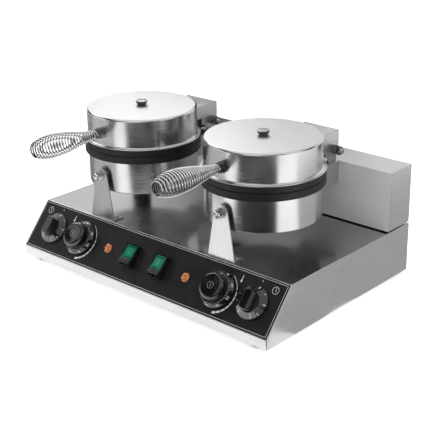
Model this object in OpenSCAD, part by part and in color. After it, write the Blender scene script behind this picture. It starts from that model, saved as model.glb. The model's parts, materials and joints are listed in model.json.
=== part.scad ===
// Double round waffle maker: a folded steel base with a sloped control panel,
// and two round baking heads whose lids swing up on rear hinges.
// X runs to the right, Y to the back and Z up. The base stands on four feet at z = 0.

/* [Base] */
// Width of the base across both heads
base_w = 550; // [480:1:640]
// Height of the flat deck above the table
deck_z = 92.7; // [85:0.1:110]
// Height of the top of the front lip
lip_z = 24.6; // [20:0.1:34]
// Depth of the sloped front, measured level
slope_run = 57.8; // [50:0.1:64]
// Thickness of the folded sheet
sheet = 1.2; // [0.8:0.1:1.6]
// Height of the rubber feet
foot_h = 8; // [6:0.5:10]
// Radius of the rubber feet
foot_r = 14; // [10:0.5:16]
// Distance of each foot's centre from the side walls
foot_inset_x = 30; // [24:1:40]
// Distance of each foot's centre from the front and rear walls
foot_inset_y = 21; // [20:1:40]

/* [Rear cover] */
// Depth of the cover that stands on the back of the deck
cover_d = 62; // [56:0.5:70]
// Distance of the cover's front behind the hinge bolts
cover_back = 8.7; // [7:0.1:14]
// Height of the cover's top above the underside of the lower plates' rims
cover_rise = 1.1; // [0.5:0.1:3]
// Inset of the cover's ends from the base's ends
cover_inset = 1.25; // [0.5:0.05:4]
// Shadow gap between the deck and the cover
cover_gap = 2.3; // [1.5:0.1:4]

/* [Baking heads] */
// How far each head's centre stands in from the middle of its half of the base
head_in = 3.4; // [0:0.1:10]
// Outer radius of the round housings
head_r = 94; // [88:0.1:98]
// How far the cast plates stand out past the housings
rim_out = 5.6; // [4:0.1:8]
// Height of the lower housings' undersides above the deck
head_lift = 48; // [40:0.5:60]
// Height of the lower housings
housing_h = 54; // [48:0.5:64]
// Height of the lower plates' rims
low_rim_h = 12.9; // [10:0.1:15]
// Height of the upper plates' rims
up_rim_h = 10.8; // [9:0.1:13]
// Height of the lids above the plates' rims
lid_h = 50.8; // [44:0.1:60]
// Distance of the baking cavity's edge inside the housings' outer wall
cavity_in = 6; // [5:0.5:10]
// Depth of the cavity in the lower plate
cavity_low = 14; // [12:0.5:16]
// Depth of the cavity in the upper plate
cavity_up = 11.5; // [9:0.5:13]
// Pitch of the square waffle posts
post_pitch = 19; // [16:0.5:24]
// Width of a waffle post
post_w = 10; // [7:0.5:12]

/* [Lid hinge] */
// Half of the outer width of the hinge box on the lid
box_half = 34.9; // [32:0.1:36]
// Height of the hinge box's top above the plates' rims
box_rise = 29.8; // [26:0.1:34]
// Distance of the hinge bolt behind the plates' edge
bolt_back = 41.5; // [38:0.1:48]
// Height of the hinge bolt above the seam between the plates
bolt_rise = 9.1; // [8:0.1:12]
// Radius of the hinge bolt
bolt_r = 4; // [3:0.5:5]
// How far the lower hinge arm's sides stand out past the hinge box's
arm_out = 3.8; // [3.5:0.1:8]
// Height of the lower hinge arm, from its underside to its top
arm_h = 36.3; // [30:0.1:40]

/* [Front bracket] */
// Half of the bracket's width at the deck
bracket_half = 27.5; // [24:0.5:32]
// Radius of the bracket's round top
bracket_top_r = 13.5; // [11:0.5:15]
// Thickness of the bracket's plate
bracket_t = 2; // [1.5:0.1:3]
// Distance of the bracket's face behind the deck's front edge
bracket_back = 3.5; // [2.5:0.1:5]
// Distance of the bracket's face in front of the housing
bracket_stand = 7.5; // [6:0.1:10]
// Length of the bracket's foot on the deck
bracket_foot = 21; // [18:0.5:26]
// Height of the bracket's bolt above the housing's underside
bracket_bolt_rise = 28.3; // [22:0.1:34]

/* [Coil handle] */
// Height of the handle's root above the plates' rims
handle_rise = 23.6; // [20:0.1:28]
// Upward tilt of the handle in degrees
handle_tilt = 2; // [0:0.5:4]
// Length of the wound coil
coil_len = 131; // [110:1:150]
// Number of turns in the coil
coil_turns = 23; // [16:1:24]
// Diameter of the handle's wire
wire_d = 2.6; // [2:0.1:2.8]
// Outer radius of the coil at its fattest
coil_fat_r = 19.5; // [16:0.5:22]
// Outer radius of the ring at the coil's tip
coil_tip_r = 12.4; // [10:0.1:14]
// Radius of the handle's threaded stud
stud_r = 5; // [4:0.5:5]

/* [Controls] */
// How far each lamp stands in from the middle between its switch and its thermostat
lamp_in = 6.5; // [0:0.5:10]
// Distance of the switches from the middle of the panel
switch_x = 33; // [24:0.5:44]
// Distance between each timer and the thermostat beside it
knob_pitch = 68.5; // [62:0.5:72]
// Distance of the timers from the ends of the base
timer_in = 50; // [44:0.5:56]
// Radius of the thermostat's dial
dial_r = 30.5; // [28:0.5:32]
// Radius of the thermostat's round grip
dome_r = 22; // [18:0.5:24]
// Height of the thermostat's round grip above the panel
dome_h = 25; // [20:0.5:28]
// Radius of the timer knob's skirt
skirt_r = 27.2; // [24:0.1:30]
// Height of the timer knob's grip above the panel
grip_h = 22; // [16:0.5:26]
// Width of a switch body above the panel
switch_w = 26; // [24:0.5:32]
// Length of a switch body above the panel, along the slope
switch_l = 38; // [34:0.5:42]
// Height of a switch body above the panel
switch_h = 11; // [9:0.5:14]
// Distance of the switches up the slope from its middle
switch_up = 1; // [0:0.5:3]
// Radius of the lamp lenses
lamp_r = 8; // [6:0.5:9]

/* [Hidden] */
left = -1;
right = 1;
round_fn = 96;
small_fn = 40;
over = 1;

// Clearances
seat_gap = 0.3;
face_gap = 0.1;
run_gap = 0.05;

// The base is as deep as the slope, the brackets, the heads, the hinges and the cover need
plate_r = head_r + rim_out;
front_run = slope_run + bracket_back + bracket_stand + head_r;
rear_run = plate_r + bolt_back + cover_back + cover_d;
base_d = front_run + rear_run;

// The base's faces, with the base's middle at y = 0
front_y = -base_d / 2;
rear_y = base_d / 2;
edge_y = front_y + slope_run;
half_w = base_w / 2;
inner_z = deck_z - sheet;
slope_rise = deck_z - lip_z;
slope_angle = atan2(slope_rise, slope_run);
slope_len = norm([slope_run, slope_rise]);

// The cover and the heads
cover_y = rear_y - cover_d;
cover_half = half_w - cover_inset;
cover_low_z = deck_z + cover_gap;
head_x = half_w / 2 - head_in;
head_y = front_y + front_run;
wall_y = head_y - head_r;

// Heights of the heads' parts, each from the one below
housing_z = deck_z + head_lift;
rim_low_z = housing_z + housing_h;
seam_z = rim_low_z + low_rim_h;
rim_top_z = seam_z + up_rim_h;
lid_top_z = rim_top_z + lid_h;
cover_z = rim_low_z + cover_rise;
bracket_bolt_z = housing_z + bracket_bolt_rise;
handle_z = rim_top_z + handle_rise;

// The hinge bolt, and the top of the box that it passes through
bolt_y = head_y + plate_r + bolt_back;
bolt_z = seam_z + bolt_rise;
box_top_z = rim_top_z + box_rise;
arm_half = box_half + arm_out;

// Places of the controls across the panel
timer_x = half_w - timer_in;
thermostat_x = timer_x - knob_pitch;
lamp_x = (switch_x + thermostat_x) / 2 - lamp_in;

// Rocker switches: the rocker fills a well in the body, less a small gap all round
switch_wall = 1.8;
switch_end_wall = 1;
well_w = switch_w - 2 * switch_wall;
well_l = switch_l - 2 * switch_end_wall;

// Metal and moulded wall thicknesses that have no setting of their own
arm_sheet = 2;
box_sheet = 1.5;
panel_t = 0.8;
panel_inset = 1.3;

// The cord gland in the rear wall
gland_in_x = 110;
gland_x = half_w - gland_in_x;
gland_z = 50;
gland_r = 9;
gland_bore_r = 4.6;
gland_lip = 3;

// The handle's proportions
nut_h = 8;
nut_r = 9.4;
jam_h = 5;
jam_r = 8.6;
coil_start = nut_h + seat_gap + jam_h;
coil_neck_r = stud_r + wire_d / 2 + 2 * face_gap;
coil_fat_share = 0.725;
coil_pitch_share = 0.56;
coil_power = 1.5;
coil_rings = 8;
coil_sides = 6;
tip_turn = 0.75;
tip_step = 1.25 * wire_d;

// How far the handles reach in front of the heads, and the shift along Y that puts
// the origin under the middle of the whole part
handle_reach = (coil_start + coil_len - wire_d / 2) * cos(handle_tilt) + coil_tip_r * sin(handle_tilt);
reach_y = wall_y - seat_gap - handle_reach;
frame_y = -(reach_y + rear_y + gland_lip) / 2;

// Colours
steel = [0.76, 0.76, 0.75];
bright = [0.86, 0.86, 0.86];
cast = [0.11, 0.11, 0.11];
black = [0.06, 0.06, 0.06];
wool = [0.85, 0.80, 0.62];
green = [0.02, 0.40, 0.27];
amber = [0.95, 0.55, 0.20];
white = [0.90, 0.90, 0.88];

// Puts the base's middle where the part's frame wants it
module placed() {
    translate([0, frame_y, 0])
        children();
}

// A head's own place, with z still measured from the table
module at_head(side) {
    placed()
        translate([side * head_x, head_y, 0])
            children();
}

// A place on the sloped panel: x across, y up the slope, z square out of it
module on_panel(x) {
    placed()
        translate([x, (front_y + edge_y) / 2, (lip_z + deck_z) / 2])
            rotate([slope_angle, 0, 0])
                children();
}

// The middle of a switch on the sloped panel
module at_switch(side) {
    on_panel(side * switch_x)
        translate([0, switch_up, 0])
            children();
}

// The root of a handle on the lid wall, with z running out along the handle
module at_handle(side) {
    placed()
        translate([side * head_x, wall_y - seat_gap, handle_z])
            rotate([90 - handle_tilt, 0, 0])
                children();
}

// A plate cut from a side outline in Y and Z, centred at x and t thick
module side_plate(x, t, outline) {
    translate([x - t / 2, 0, 0])
        rotate([90, 0, 90])
            linear_extrude(t)
                polygon(outline);
}

// A block between two corners
module block(low, high) {
    translate(low)
        cube(high - low);
}

// A hexagon nut with a bore, standing on z = 0
module hex_nut(r, h, bore) {
    difference() {
        cylinder(r = r, h = h, $fn = 6);
        translate([0, 0, -over])
            cylinder(r = bore, h = h + 2 * over, $fn = small_fn);
    }
}

// A pan-headed screw: head above z = 0, shank below, cross slot on top
module pan_screw(head_r, head_h, shank_r, shank_h) {
    slot_w = head_r / 4;
    difference() {
        union() {
            cylinder(r1 = head_r, r2 = head_r * 0.72, h = head_h, $fn = small_fn);
            translate([0, 0, -shank_h])
                cylinder(r = shank_r, h = shank_h, $fn = small_fn);
        }
        for (turn = [0, 90])
            rotate([0, 0, turn])
                translate([-head_r * 0.55, -slot_w / 2, head_h * 0.5])
                    cube([head_r * 1.1, slot_w, head_h]);
    }
}

// Proportions that several pieces share
screw_top_share = 0.72;
slot_reach_share = 0.55;
bevel_share = sqrt(2) - 1;
arc_steps = 16;

// Hexagon sizes across the corners, and heights, for the two thread sizes used
bolt_head_r = 7.5;
bolt_head_h = 5.3;
hinge_nut_h = 6.5;
screw_r = 2;
screw_head_r = 4;
screw_head_h = 2.4;

// A circular arc of points about a centre, from one angle to another
function arc(centre, r, from, to, steps = arc_steps) =
    [for (i = [0 : steps])
        let (turn = from + (to - from) * i / steps)
        centre + r * [cos(turn), sin(turn)]];

// A flat ring or a tube, standing on z = 0
module ring(outer, inner, h) {
    difference() {
        cylinder(r = outer, h = h, $fn = small_fn);
        translate([0, 0, -over])
            cylinder(r = inner, h = h + 2 * over, $fn = small_fn);
    }
}

// A round hole through a sheet that lies between z = low and z = low + h
module sheet_hole(r, low, h) {
    translate([0, 0, low - over])
        cylinder(r = r, h = h + 2 * over, $fn = small_fn);
}

// Base

foot_x = half_w - foot_inset_x;
foot_y = rear_y - foot_inset_y;
foot_taper_share = 0.88;
foot_recess_r = 5.5;
foot_recess_h = 4.4;
foot_screw_r = 2.5;
foot_screw_head_h = 2.6;
foot_screw_l = 8.8;

// The outline of the base's outer faces in Y and Z
base_outline = [
    [front_y, foot_h], [front_y, lip_z], [edge_y, deck_z], [rear_y, deck_z], [rear_y, foot_h]
];
// The same outline one sheet further in, open towards the floor
inner_outline = [
    [front_y + sheet, foot_h - over],
    [front_y + sheet, lip_z - sheet * tan((90 - slope_angle) / 2)],
    [edge_y + sheet * tan(slope_angle / 2), inner_z],
    [rear_y - sheet, inner_z],
    [rear_y - sheet, foot_h - over]
];

// Places on the slope and sizes of what passes through it
spindle_hole_r = 6;
lamp_body_r = 4.8;
switch_rear_w = 21;
switch_rear_l = 26;
panel_depth = sheet + panel_t;

// The front bracket's screws and the cover's spacers stand at these places
bracket_y = edge_y + bracket_back;
bracket_screw_x = 20;
bracket_screw_in = 13;
bracket_screw_y = bracket_y + bracket_screw_in;
flange_w = 12;
spacer_x = cover_half - 2 * flange_w;
spacer_front_y = cover_y + sheet + flange_w / 2;
spacer_rear_y = rear_y - sheet - flange_w / 2;

module at_feet() {
    placed()
        for (x = [-foot_x, foot_x], y = [-foot_y, foot_y])
            translate([x, y, 0])
                children();
}

module at_bracket_screws() {
    placed()
        for (side = [left, right], end = [left, right])
            translate([side * head_x + end * bracket_screw_x, bracket_screw_y, 0])
                children();
}

module at_spacers() {
    placed()
        for (x = [-spacer_x, 0, spacer_x], y = [spacer_front_y, spacer_rear_y])
            translate([x, y, 0])
                children();
}

// Holes in the slope for spindles, lamps and switches
module panel_holes() {
    for (side = [left, right]) {
        for (x = [timer_x, thermostat_x])
            on_panel(side * x)
                sheet_hole(spindle_hole_r, -sheet, panel_depth);
        on_panel(side * lamp_x)
            sheet_hole(lamp_body_r + face_gap, -sheet, panel_depth);
        at_switch(side)
            block(
                [-switch_rear_w / 2 - face_gap, -switch_rear_l / 2 - face_gap, -sheet - over],
                [switch_rear_w / 2 + face_gap, switch_rear_l / 2 + face_gap, panel_t + over]
            );
    }
}

// The place of the cord gland in the rear wall, with z running out to the back
module at_gland() {
    placed()
        translate([gland_x, rear_y, gland_z])
            rotate([-90, 0, 0])
                children();
}

module base_shell() {
    color(steel)
        difference() {
            placed()
                difference() {
                    side_plate(0, base_w, base_outline);
                    side_plate(0, base_w - 2 * sheet, inner_outline);
                }
            at_bracket_screws()
                sheet_hole(screw_r, inner_z, sheet);
            at_spacers()
                sheet_hole(screw_r, inner_z, sheet);
            at_gland()
                sheet_hole(gland_r, -sheet, sheet);
            panel_holes();
        }
}

vent_l = 60;
vent_w = 4;
vent_pitch = 12;
vent_rows = 6;

module bottom_plate() {
    color(steel)
        difference() {
            placed()
                block(
                    [-half_w + sheet + face_gap, front_y + sheet + face_gap, foot_h],
                    [half_w - sheet - face_gap, rear_y - sheet - face_gap, foot_h + sheet]
                );
            at_feet()
                sheet_hole(foot_screw_r + face_gap, foot_h, sheet);
            for (side = [left, right], row = [0 : vent_rows - 1])
                at_head(side)
                    translate([0, (row - (vent_rows - 1) / 2) * vent_pitch, 0])
                        block(
                            [-vent_l / 2, -vent_w / 2, foot_h - over],
                            [vent_l / 2, vent_w / 2, foot_h + sheet + over]
                        );
        }
}

module rubber_feet() {
    color(black)
        at_feet()
            difference() {
                cylinder(r1 = foot_r * foot_taper_share, r2 = foot_r, h = foot_h, $fn = round_fn);
                sheet_hole(foot_recess_r, 0, foot_recess_h - over);
                sheet_hole(foot_screw_r + face_gap, 0, foot_h);
            }
}

module foot_screws() {
    color(bright)
        at_feet()
            translate([0, 0, foot_recess_h])
                rotate([180, 0, 0])
                    pan_screw(foot_recess_r - 4 * seat_gap, foot_screw_head_h, foot_screw_r, foot_screw_l);
}

module control_panel() {
    color(cast)
        difference() {
            on_panel(0)
                block(
                    [-half_w + panel_inset, -slope_len / 2 + panel_inset, 0],
                    [half_w - panel_inset, slope_len / 2 - panel_inset, panel_t]
                );
            panel_holes();
        }
}

// Rear cover

// The lower hinge arm passes through the cover's front wall this far below its top
arm_drop = 3.5;
arm_low_z = cover_z - arm_h;

// The cover's inward flange is open where the arms stand on the deck
module arm_passage() {
    reach_x = arm_half + face_gap;
    block(
        [-reach_x, cover_y - over, arm_low_z - face_gap],
        [reach_x, cover_y + sheet + over, cover_z - arm_drop + face_gap]
    );
    block(
        [-reach_x, cover_y + sheet, cover_low_z - over],
        [reach_x, cover_y + 2 * sheet + flange_w, cover_low_z + sheet + over]
    );
}

module rear_cover() {
    color(steel)
        difference() {
            placed()
                difference() {
                    block([-cover_half, cover_y, cover_low_z], [cover_half, rear_y, cover_z]);
                    block(
                        [-cover_half + sheet, cover_y + sheet, cover_low_z + sheet],
                        [cover_half - sheet, rear_y - sheet, cover_z - sheet]
                    );
                    block(
                        [-cover_half + sheet + flange_w, cover_y + sheet + flange_w, cover_low_z - over],
                        [cover_half - sheet - flange_w, rear_y - sheet - flange_w, cover_low_z + 2 * sheet]
                    );
                    for (side = [left, right])
                        translate([side * head_x, 0, 0])
                            arm_passage();
                }
            at_spacers()
                sheet_hole(screw_r, cover_low_z, sheet);
        }
}

spacer_r = 5;

module cover_spacers() {
    color(black)
        at_spacers()
            translate([0, 0, deck_z])
                ring(spacer_r, screw_r + face_gap, cover_gap);
}

module cover_screws() {
    color(bright)
        at_spacers()
            translate([0, 0, inner_z])
                rotate([180, 0, 0])
                    pan_screw(
                        screw_head_r, screw_head_h, screw_r - run_gap, 2 * sheet + cover_gap + screw_head_h
                    );
}

// Front brackets

washer_r = 8.6;
washer_t = 1.6;
acorn_hex_h = 7;
acorn_dome_r = 6.2;
bracket_rise = bracket_bolt_z - deck_z;
// The straight sides meet the round top without a corner at this angle
bracket_lean = atan2(bracket_half, bracket_rise) - asin(bracket_top_r / norm([bracket_half, bracket_rise]));
bracket_outline = concat(
    [[-bracket_half, deck_z], [bracket_half, deck_z]],
    arc([0, bracket_bolt_z], bracket_top_r, bracket_lean, 180 - bracket_lean)
);

// The bolt line of one bracket, with z running out to the front from the housing's wall
module at_bracket_bolt(side) {
    placed()
        translate([side * head_x, wall_y, bracket_bolt_z])
            rotate([90, 0, 0])
                children();
}

bracket_face = wall_y - bracket_y;
acorn_z = bracket_face + washer_t + 2 * face_gap;

module front_brackets() {
    color(steel)
        difference() {
            placed()
                for (side = [left, right])
                    translate([side * head_x, bracket_y, 0]) {
                        translate([0, bracket_t, 0])
                            rotate([90, 0, 0])
                                linear_extrude(bracket_t)
                                    polygon(bracket_outline);
                        block(
                            [-bracket_half, 0, deck_z],
                            [bracket_half, bracket_foot, deck_z + bracket_t]
                        );
                    }
            for (side = [left, right])
                at_bracket_bolt(side)
                    sheet_hole(bolt_r + face_gap, bracket_face - bracket_t, bracket_t);
            at_bracket_screws()
                sheet_hole(screw_r + face_gap, deck_z, bracket_t);
        }
}

module bracket_screws() {
    color(bright)
        at_bracket_screws()
            translate([0, 0, deck_z + bracket_t])
                pan_screw(screw_head_r, screw_head_h, screw_r - run_gap, bracket_t + sheet + screw_head_h);
}

module bracket_bolts() {
    color(bright)
        for (side = [left, right])
            at_bracket_bolt(side)
                translate([0, 0, -sheet - seat_gap - bolt_head_h]) {
                    cylinder(r = bolt_head_r, h = bolt_head_h, $fn = 6);
                    cylinder(
                        r = bolt_r, h = bolt_head_h + seat_gap + sheet + acorn_z + acorn_hex_h, $fn = small_fn
                    );
                }
}

module bracket_spacers() {
    color(steel)
        for (side = [left, right])
            at_bracket_bolt(side)
                translate([0, 0, seat_gap])
                    ring(bolt_head_r, bolt_r + face_gap, bracket_face - bracket_t - 2 * seat_gap);
}

module bracket_washers() {
    color(bright)
        for (side = [left, right])
            at_bracket_bolt(side)
                translate([0, 0, bracket_face + face_gap])
                    ring(washer_r, bolt_r + face_gap, washer_t);
}

module acorn_nuts() {
    color(bright)
        for (side = [left, right])
            at_bracket_bolt(side)
                translate([0, 0, acorn_z])
                    difference() {
                        union() {
                            cylinder(r = bolt_head_r, h = acorn_hex_h, $fn = 6);
                            translate([0, 0, acorn_hex_h])
                                sphere(r = acorn_dome_r, $fn = round_fn);
                        }
                        sheet_hole(bolt_r + run_gap, 0, acorn_hex_h + face_gap - over);
                    }
}

// Baking heads

inner_r = head_r - sheet;
core_gap = 0.5;
core_r = inner_r - core_gap;
low_core_drop = 8.7;
up_core_rise = 6.6;
low_core_z = rim_low_z - low_core_drop;
up_core_z = rim_top_z + up_core_rise;
cavity_r = head_r - cavity_in;
half_seam = 0.25;
corner_r = 4;
low_bevel = 2;
heater_r = 3.5;
heater_ring_in = 32;
heater_ring_r = head_r - heater_ring_in;
heater_sink = 1.5;
wool_in = 12;
wool_r = head_r - wool_in;
boss_r = 10;
boss_h = 15;
wire_way_half = 20;
wire_way_depth = 20;

low_top_z = seam_z - half_seam;
low_floor_z = low_top_z - cavity_low;
low_post_h = 9;
up_bottom_z = seam_z + half_seam;
up_floor_z = up_bottom_z + cavity_up;
up_post_h = 7;
rib_w = 4;
post_count = floor(cavity_r / post_pitch);

// A round cup of sheet: the profile of the lower housing in radius and height
housing_outline = [
    [0, housing_z], [head_r - low_bevel, housing_z], [head_r, housing_z + low_bevel],
    [head_r, rim_low_z - face_gap], [inner_r, rim_low_z - face_gap],
    [inner_r, housing_z + low_bevel + sheet * bevel_share],
    [head_r - low_bevel - sheet * bevel_share, housing_z + sheet], [0, housing_z + sheet]
];

module lower_housing(side) {
    color(steel)
        difference() {
            at_head(side) {
                difference() {
                    rotate_extrude($fn = round_fn)
                        polygon(housing_outline);
                    block(
                        [-wire_way_half, head_r - wire_way_depth, arm_low_z + 2 * arm_sheet],
                        [wire_way_half, head_r + over, rim_low_z - 2 * arm_sheet]
                    );
                }
            }
            at_bracket_bolt(side)
                sheet_hole(bolt_r + face_gap, -2 * sheet, 2 * sheet);
        }
}

// Square waffle posts from z to z + h, and a plain cross between their middle rows
module posts(z, h) {
    for (i = [-post_count : post_count - 1], j = [-post_count : post_count - 1]) {
        middle = post_pitch * [i + 0.5, j + 0.5];
        far_corner = [abs(middle.x) + post_w / 2, abs(middle.y) + post_w / 2];
        if (norm(far_corner) < cavity_r - post_w / 2)
            block(
                [middle.x - post_w / 2, middle.y - post_w / 2, z],
                [middle.x + post_w / 2, middle.y + post_w / 2, z + h]
            );
    }
    for (turn = [0, 90])
        rotate([0, 0, turn])
            block([-cavity_r - over, -rib_w / 2, z], [cavity_r + over, rib_w / 2, z + h]);
}

// A plate's baking cavity as the space to take out: a disc without the posts
module cavity(low, h, post_low, post_h) {
    difference() {
        translate([0, 0, low])
            cylinder(r = cavity_r, h = h, $fn = round_fn);
        posts(post_low, post_h);
    }
}

module heater_ring(r, z) {
    translate([0, 0, z])
        rotate_extrude($fn = round_fn)
            translate([heater_ring_r, 0])
                circle(r = r, $fn = small_fn);
}

low_heater_z = low_core_z + heater_sink - heater_r;
up_heater_z = up_core_z - heater_sink + heater_r;

module lower_plate(side) {
    color(cast)
        at_head(side)
            difference() {
                union() {
                    translate([0, 0, rim_low_z])
                        cylinder(r = plate_r, h = low_top_z - rim_low_z, $fn = round_fn);
                    translate([0, 0, low_core_z])
                        cylinder(r = core_r, h = rim_low_z - low_core_z + over, $fn = round_fn);
                }
                cavity(low_floor_z, cavity_low + over, low_floor_z - over, low_post_h + over);
                heater_ring(heater_r + face_gap, low_heater_z);
            }
}

module lower_heater(side) {
    color(steel)
        at_head(side)
            heater_ring(heater_r, low_heater_z);
}

// A ring of mineral wool in a housing, open round the middle screw
module wool_disc(side, low, high) {
    color(wool)
        at_head(side)
            translate([0, 0, low])
                difference() {
                    cylinder(r = wool_r, h = high - low, $fn = round_fn);
                    sheet_hole(boss_r + seat_gap, 0, high - low);
                }
}

module lower_insulation() {
    for (side = [left, right])
        wool_disc(side, housing_z + sheet, low_heater_z - heater_r - seat_gap);
}

module upper_insulation(side) {
    wool_disc(side, up_heater_z + heater_r + seat_gap, lid_top_z - sheet - face_gap);
}

// The hinge box is notched below, so that it clears the rims of both plates
notch_in = 28;
step_in = 20;
step_rise = 5.4;
box_drop = 2.4;
box_rear = 11.9;
box_back = 6.4;
tail_rise = 14.3;
notch_y = bolt_y - notch_in;
notch_z = up_core_z;
step_y = bolt_y - step_in;
step_z = seam_z + step_rise;
box_low_z = seam_z - box_drop;
box_rear_y = bolt_y + box_rear;
box_back_y = bolt_y + box_back;
tail_low_z = bolt_z + tail_rise;
box_outline = [
    [head_y, box_top_z], [box_rear_y, box_top_z], [box_rear_y, step_z], [box_back_y, step_z],
    [box_back_y, box_low_z], [step_y, box_low_z], [step_y, step_z], [notch_y, step_z],
    [notch_y, notch_z], [head_y, notch_z]
];
lug_half = box_half - box_sheet - seat_gap;
lug_root = 15.6;
lug_front = plate_r - lug_root;

module upper_plate(side) {
    color(cast)
        at_head(side)
            difference() {
                union() {
                    translate([0, 0, up_bottom_z])
                        cylinder(r = plate_r, h = rim_top_z - up_bottom_z, $fn = round_fn);
                    translate([0, 0, rim_top_z - over])
                        cylinder(r = core_r, h = up_core_z - rim_top_z + over, $fn = round_fn);
                    translate([0, 0, up_core_z - over])
                        cylinder(r = boss_r, h = boss_h + over, $fn = small_fn);
                    block([-lug_half, lug_front, up_bottom_z], [lug_half, step_y - head_y, step_z]);
                    difference() {
                        block([-lug_half, lug_front, step_z - over], [lug_half, notch_y - head_y, notch_z]);
                        translate([0, 0, rim_top_z - face_gap])
                            cylinder(r = plate_r + 2 * seat_gap, h = head_r, $fn = round_fn);
                    }
                }
                cavity(up_bottom_z - over, cavity_up + over, up_floor_z - up_post_h, up_post_h + over);
                heater_ring(heater_r + face_gap, up_heater_z);
                translate([0, 0, up_core_z])
                    cylinder(r = bolt_r, h = boss_h + over, $fn = small_fn);
            }
}

module upper_heater(side) {
    color(steel)
        at_head(side)
            heater_ring(heater_r, up_heater_z);
}

// The lid's profile in radius and height: flat top, bent edge, wall and flange
flange_r = plate_r + seat_gap;
lid_outline = concat(
    [[0, lid_top_z]],
    arc([head_r - corner_r, lid_top_z - corner_r], corner_r, 90, 0, 6),
    [
        [head_r, rim_top_z + 2 * sheet], [head_r + sheet, rim_top_z + sheet], [flange_r, rim_top_z + sheet],
        [flange_r, rim_top_z], [inner_r, rim_top_z], [inner_r, lid_top_z - corner_r],
        [head_r - corner_r, lid_top_z - sheet], [0, lid_top_z - sheet]
    ]
);

module lid_shell(side) {
    color(bright)
        difference() {
            at_head(side)
                difference() {
                    rotate_extrude($fn = round_fn)
                        polygon(lid_outline);
                    sheet_hole(bolt_r + face_gap, lid_top_z - sheet, sheet);
                    block(
                        [-wire_way_half, head_r - wire_way_depth, notch_z + 2 * box_sheet],
                        [wire_way_half, head_r + over, box_top_z - 2 * box_sheet]
                    );
                }
            at_handle(side)
                sheet_hole(stud_r + face_gap, -2 * sheet, 2 * sheet);
        }
}

lid_screw_r = 10.3;
lid_screw_foot_r = 7.4;
lid_screw_crown_r = 9.4;
lid_screw_foot_h = 6.4;
lid_screw_h = 8;
lid_screw_end_z = up_core_z + 2;

module lid_screw(side) {
    color(bright)
        at_head(side) {
            translate([0, 0, lid_top_z])
                cylinder(r1 = lid_screw_foot_r, r2 = lid_screw_r, h = lid_screw_foot_h, $fn = round_fn);
            translate([0, 0, lid_top_z + lid_screw_foot_h])
                cylinder(
                    r1 = lid_screw_r, r2 = lid_screw_crown_r, h = lid_screw_h - lid_screw_foot_h, $fn = round_fn
                );
            translate([0, 0, lid_screw_end_z])
                cylinder(r = bolt_r - run_gap, h = lid_top_z - lid_screw_end_z + face_gap, $fn = small_fn);
        }
}

// Lid hinges

// The hinge bolt's own line, with z running to the right
module at_hinge(side) {
    placed()
        translate([side * head_x, bolt_y, bolt_z])
            rotate([0, 90, 0])
                children();
}

module hinge_box(side) {
    color(steel)
        difference() {
            placed()
                translate([side * head_x, 0, 0]) {
                    for (end = [left, right])
                        side_plate(end * (box_half - box_sheet / 2), box_sheet, box_outline);
                    block([-box_half, head_y, box_top_z - box_sheet], [box_half, box_rear_y, box_top_z]);
                    block([-box_half, box_rear_y - box_sheet, tail_low_z], [box_half, box_rear_y, box_top_z]);
                }
            at_hinge(side)
                sheet_hole(bolt_r + run_gap, -box_half, 2 * box_half);
            at_head(side)
                cylinder(r = head_r + seat_gap, h = 2 * lid_top_z, $fn = round_fn);
        }
}

arm_foot_l = 30;
arm_foot_back = 10;
arm_foot_y = cover_y + arm_foot_back;
arm_rear_y = arm_foot_y + arm_foot_l;
arm_foot_w = 14;
arm_end_y = cover_y - face_gap;
arm_outline = [
    [head_y, cover_z], [arm_end_y, cover_z], [arm_end_y, cover_z - arm_drop],
    [arm_rear_y, cover_z - arm_drop], [arm_rear_y, deck_z], [arm_foot_y, deck_z],
    [arm_foot_y, arm_low_z], [head_y, arm_low_z]
];

module hinge_arm(side) {
    color(steel)
        difference() {
            placed()
                translate([side * head_x, 0, 0]) {
                    block([-arm_half, head_y, cover_z - arm_sheet], [arm_half, arm_end_y, cover_z]);
                    block([-arm_half, head_y, arm_low_z], [arm_half, arm_rear_y, arm_low_z + arm_sheet]);
                    for (end = [0, 1])
                        mirror([end, 0, 0]) {
                            side_plate(arm_half - arm_sheet / 2, arm_sheet, arm_outline);
                            block(
                                [arm_half - arm_foot_w, arm_foot_y, deck_z],
                                [arm_half, arm_rear_y, deck_z + arm_sheet]
                            );
                        }
                }
            at_head(side) {
                cylinder(r = head_r + seat_gap, h = 2 * cover_z, $fn = round_fn);
                translate([0, 0, rim_low_z - seat_gap])
                    cylinder(r = plate_r + seat_gap, h = cover_z, $fn = round_fn);
            }
        }
}

ear_t = 2.5;
ear_gap = 0.4;
ear_half = box_half - box_sheet - ear_gap;
ear_r = 8.5;
ear_front = 14;
ear_front_y = bolt_y - ear_front;
ear_outline = concat(
    [[ear_front_y, cover_z], [bolt_y + ear_r, cover_z]],
    arc([bolt_y, bolt_z], ear_r, 0, 160)
);

module hinge_ears() {
    color(steel)
        difference() {
            placed()
                for (side = [left, right])
                    translate([side * head_x, 0, 0]) {
                        block([-ear_half, ear_front_y, cover_z], [ear_half, bolt_y + ear_r, cover_z + ear_t]);
                        for (end = [left, right])
                            side_plate(end * (ear_half - ear_t / 2), ear_t, ear_outline);
                    }
            for (side = [left, right])
                at_hinge(side)
                    sheet_hole(bolt_r + run_gap, -ear_half, 2 * ear_half);
        }
}

hinge_head_gap = 2 * seat_gap;
hinge_tip = 3.5;
hinge_thread = 2 * hinge_nut_h + hinge_tip;

module hinge_bolts() {
    color(bright)
        for (side = [left, right])
            at_hinge(side)
                translate([0, 0, -box_half - hinge_head_gap - bolt_head_h]) {
                    cylinder(r = bolt_head_r, h = bolt_head_h, $fn = 6);
                    cylinder(
                        r = bolt_r, h = bolt_head_h + 2 * (box_half + hinge_head_gap) + hinge_thread, $fn = small_fn
                    );
                }
}

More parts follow.
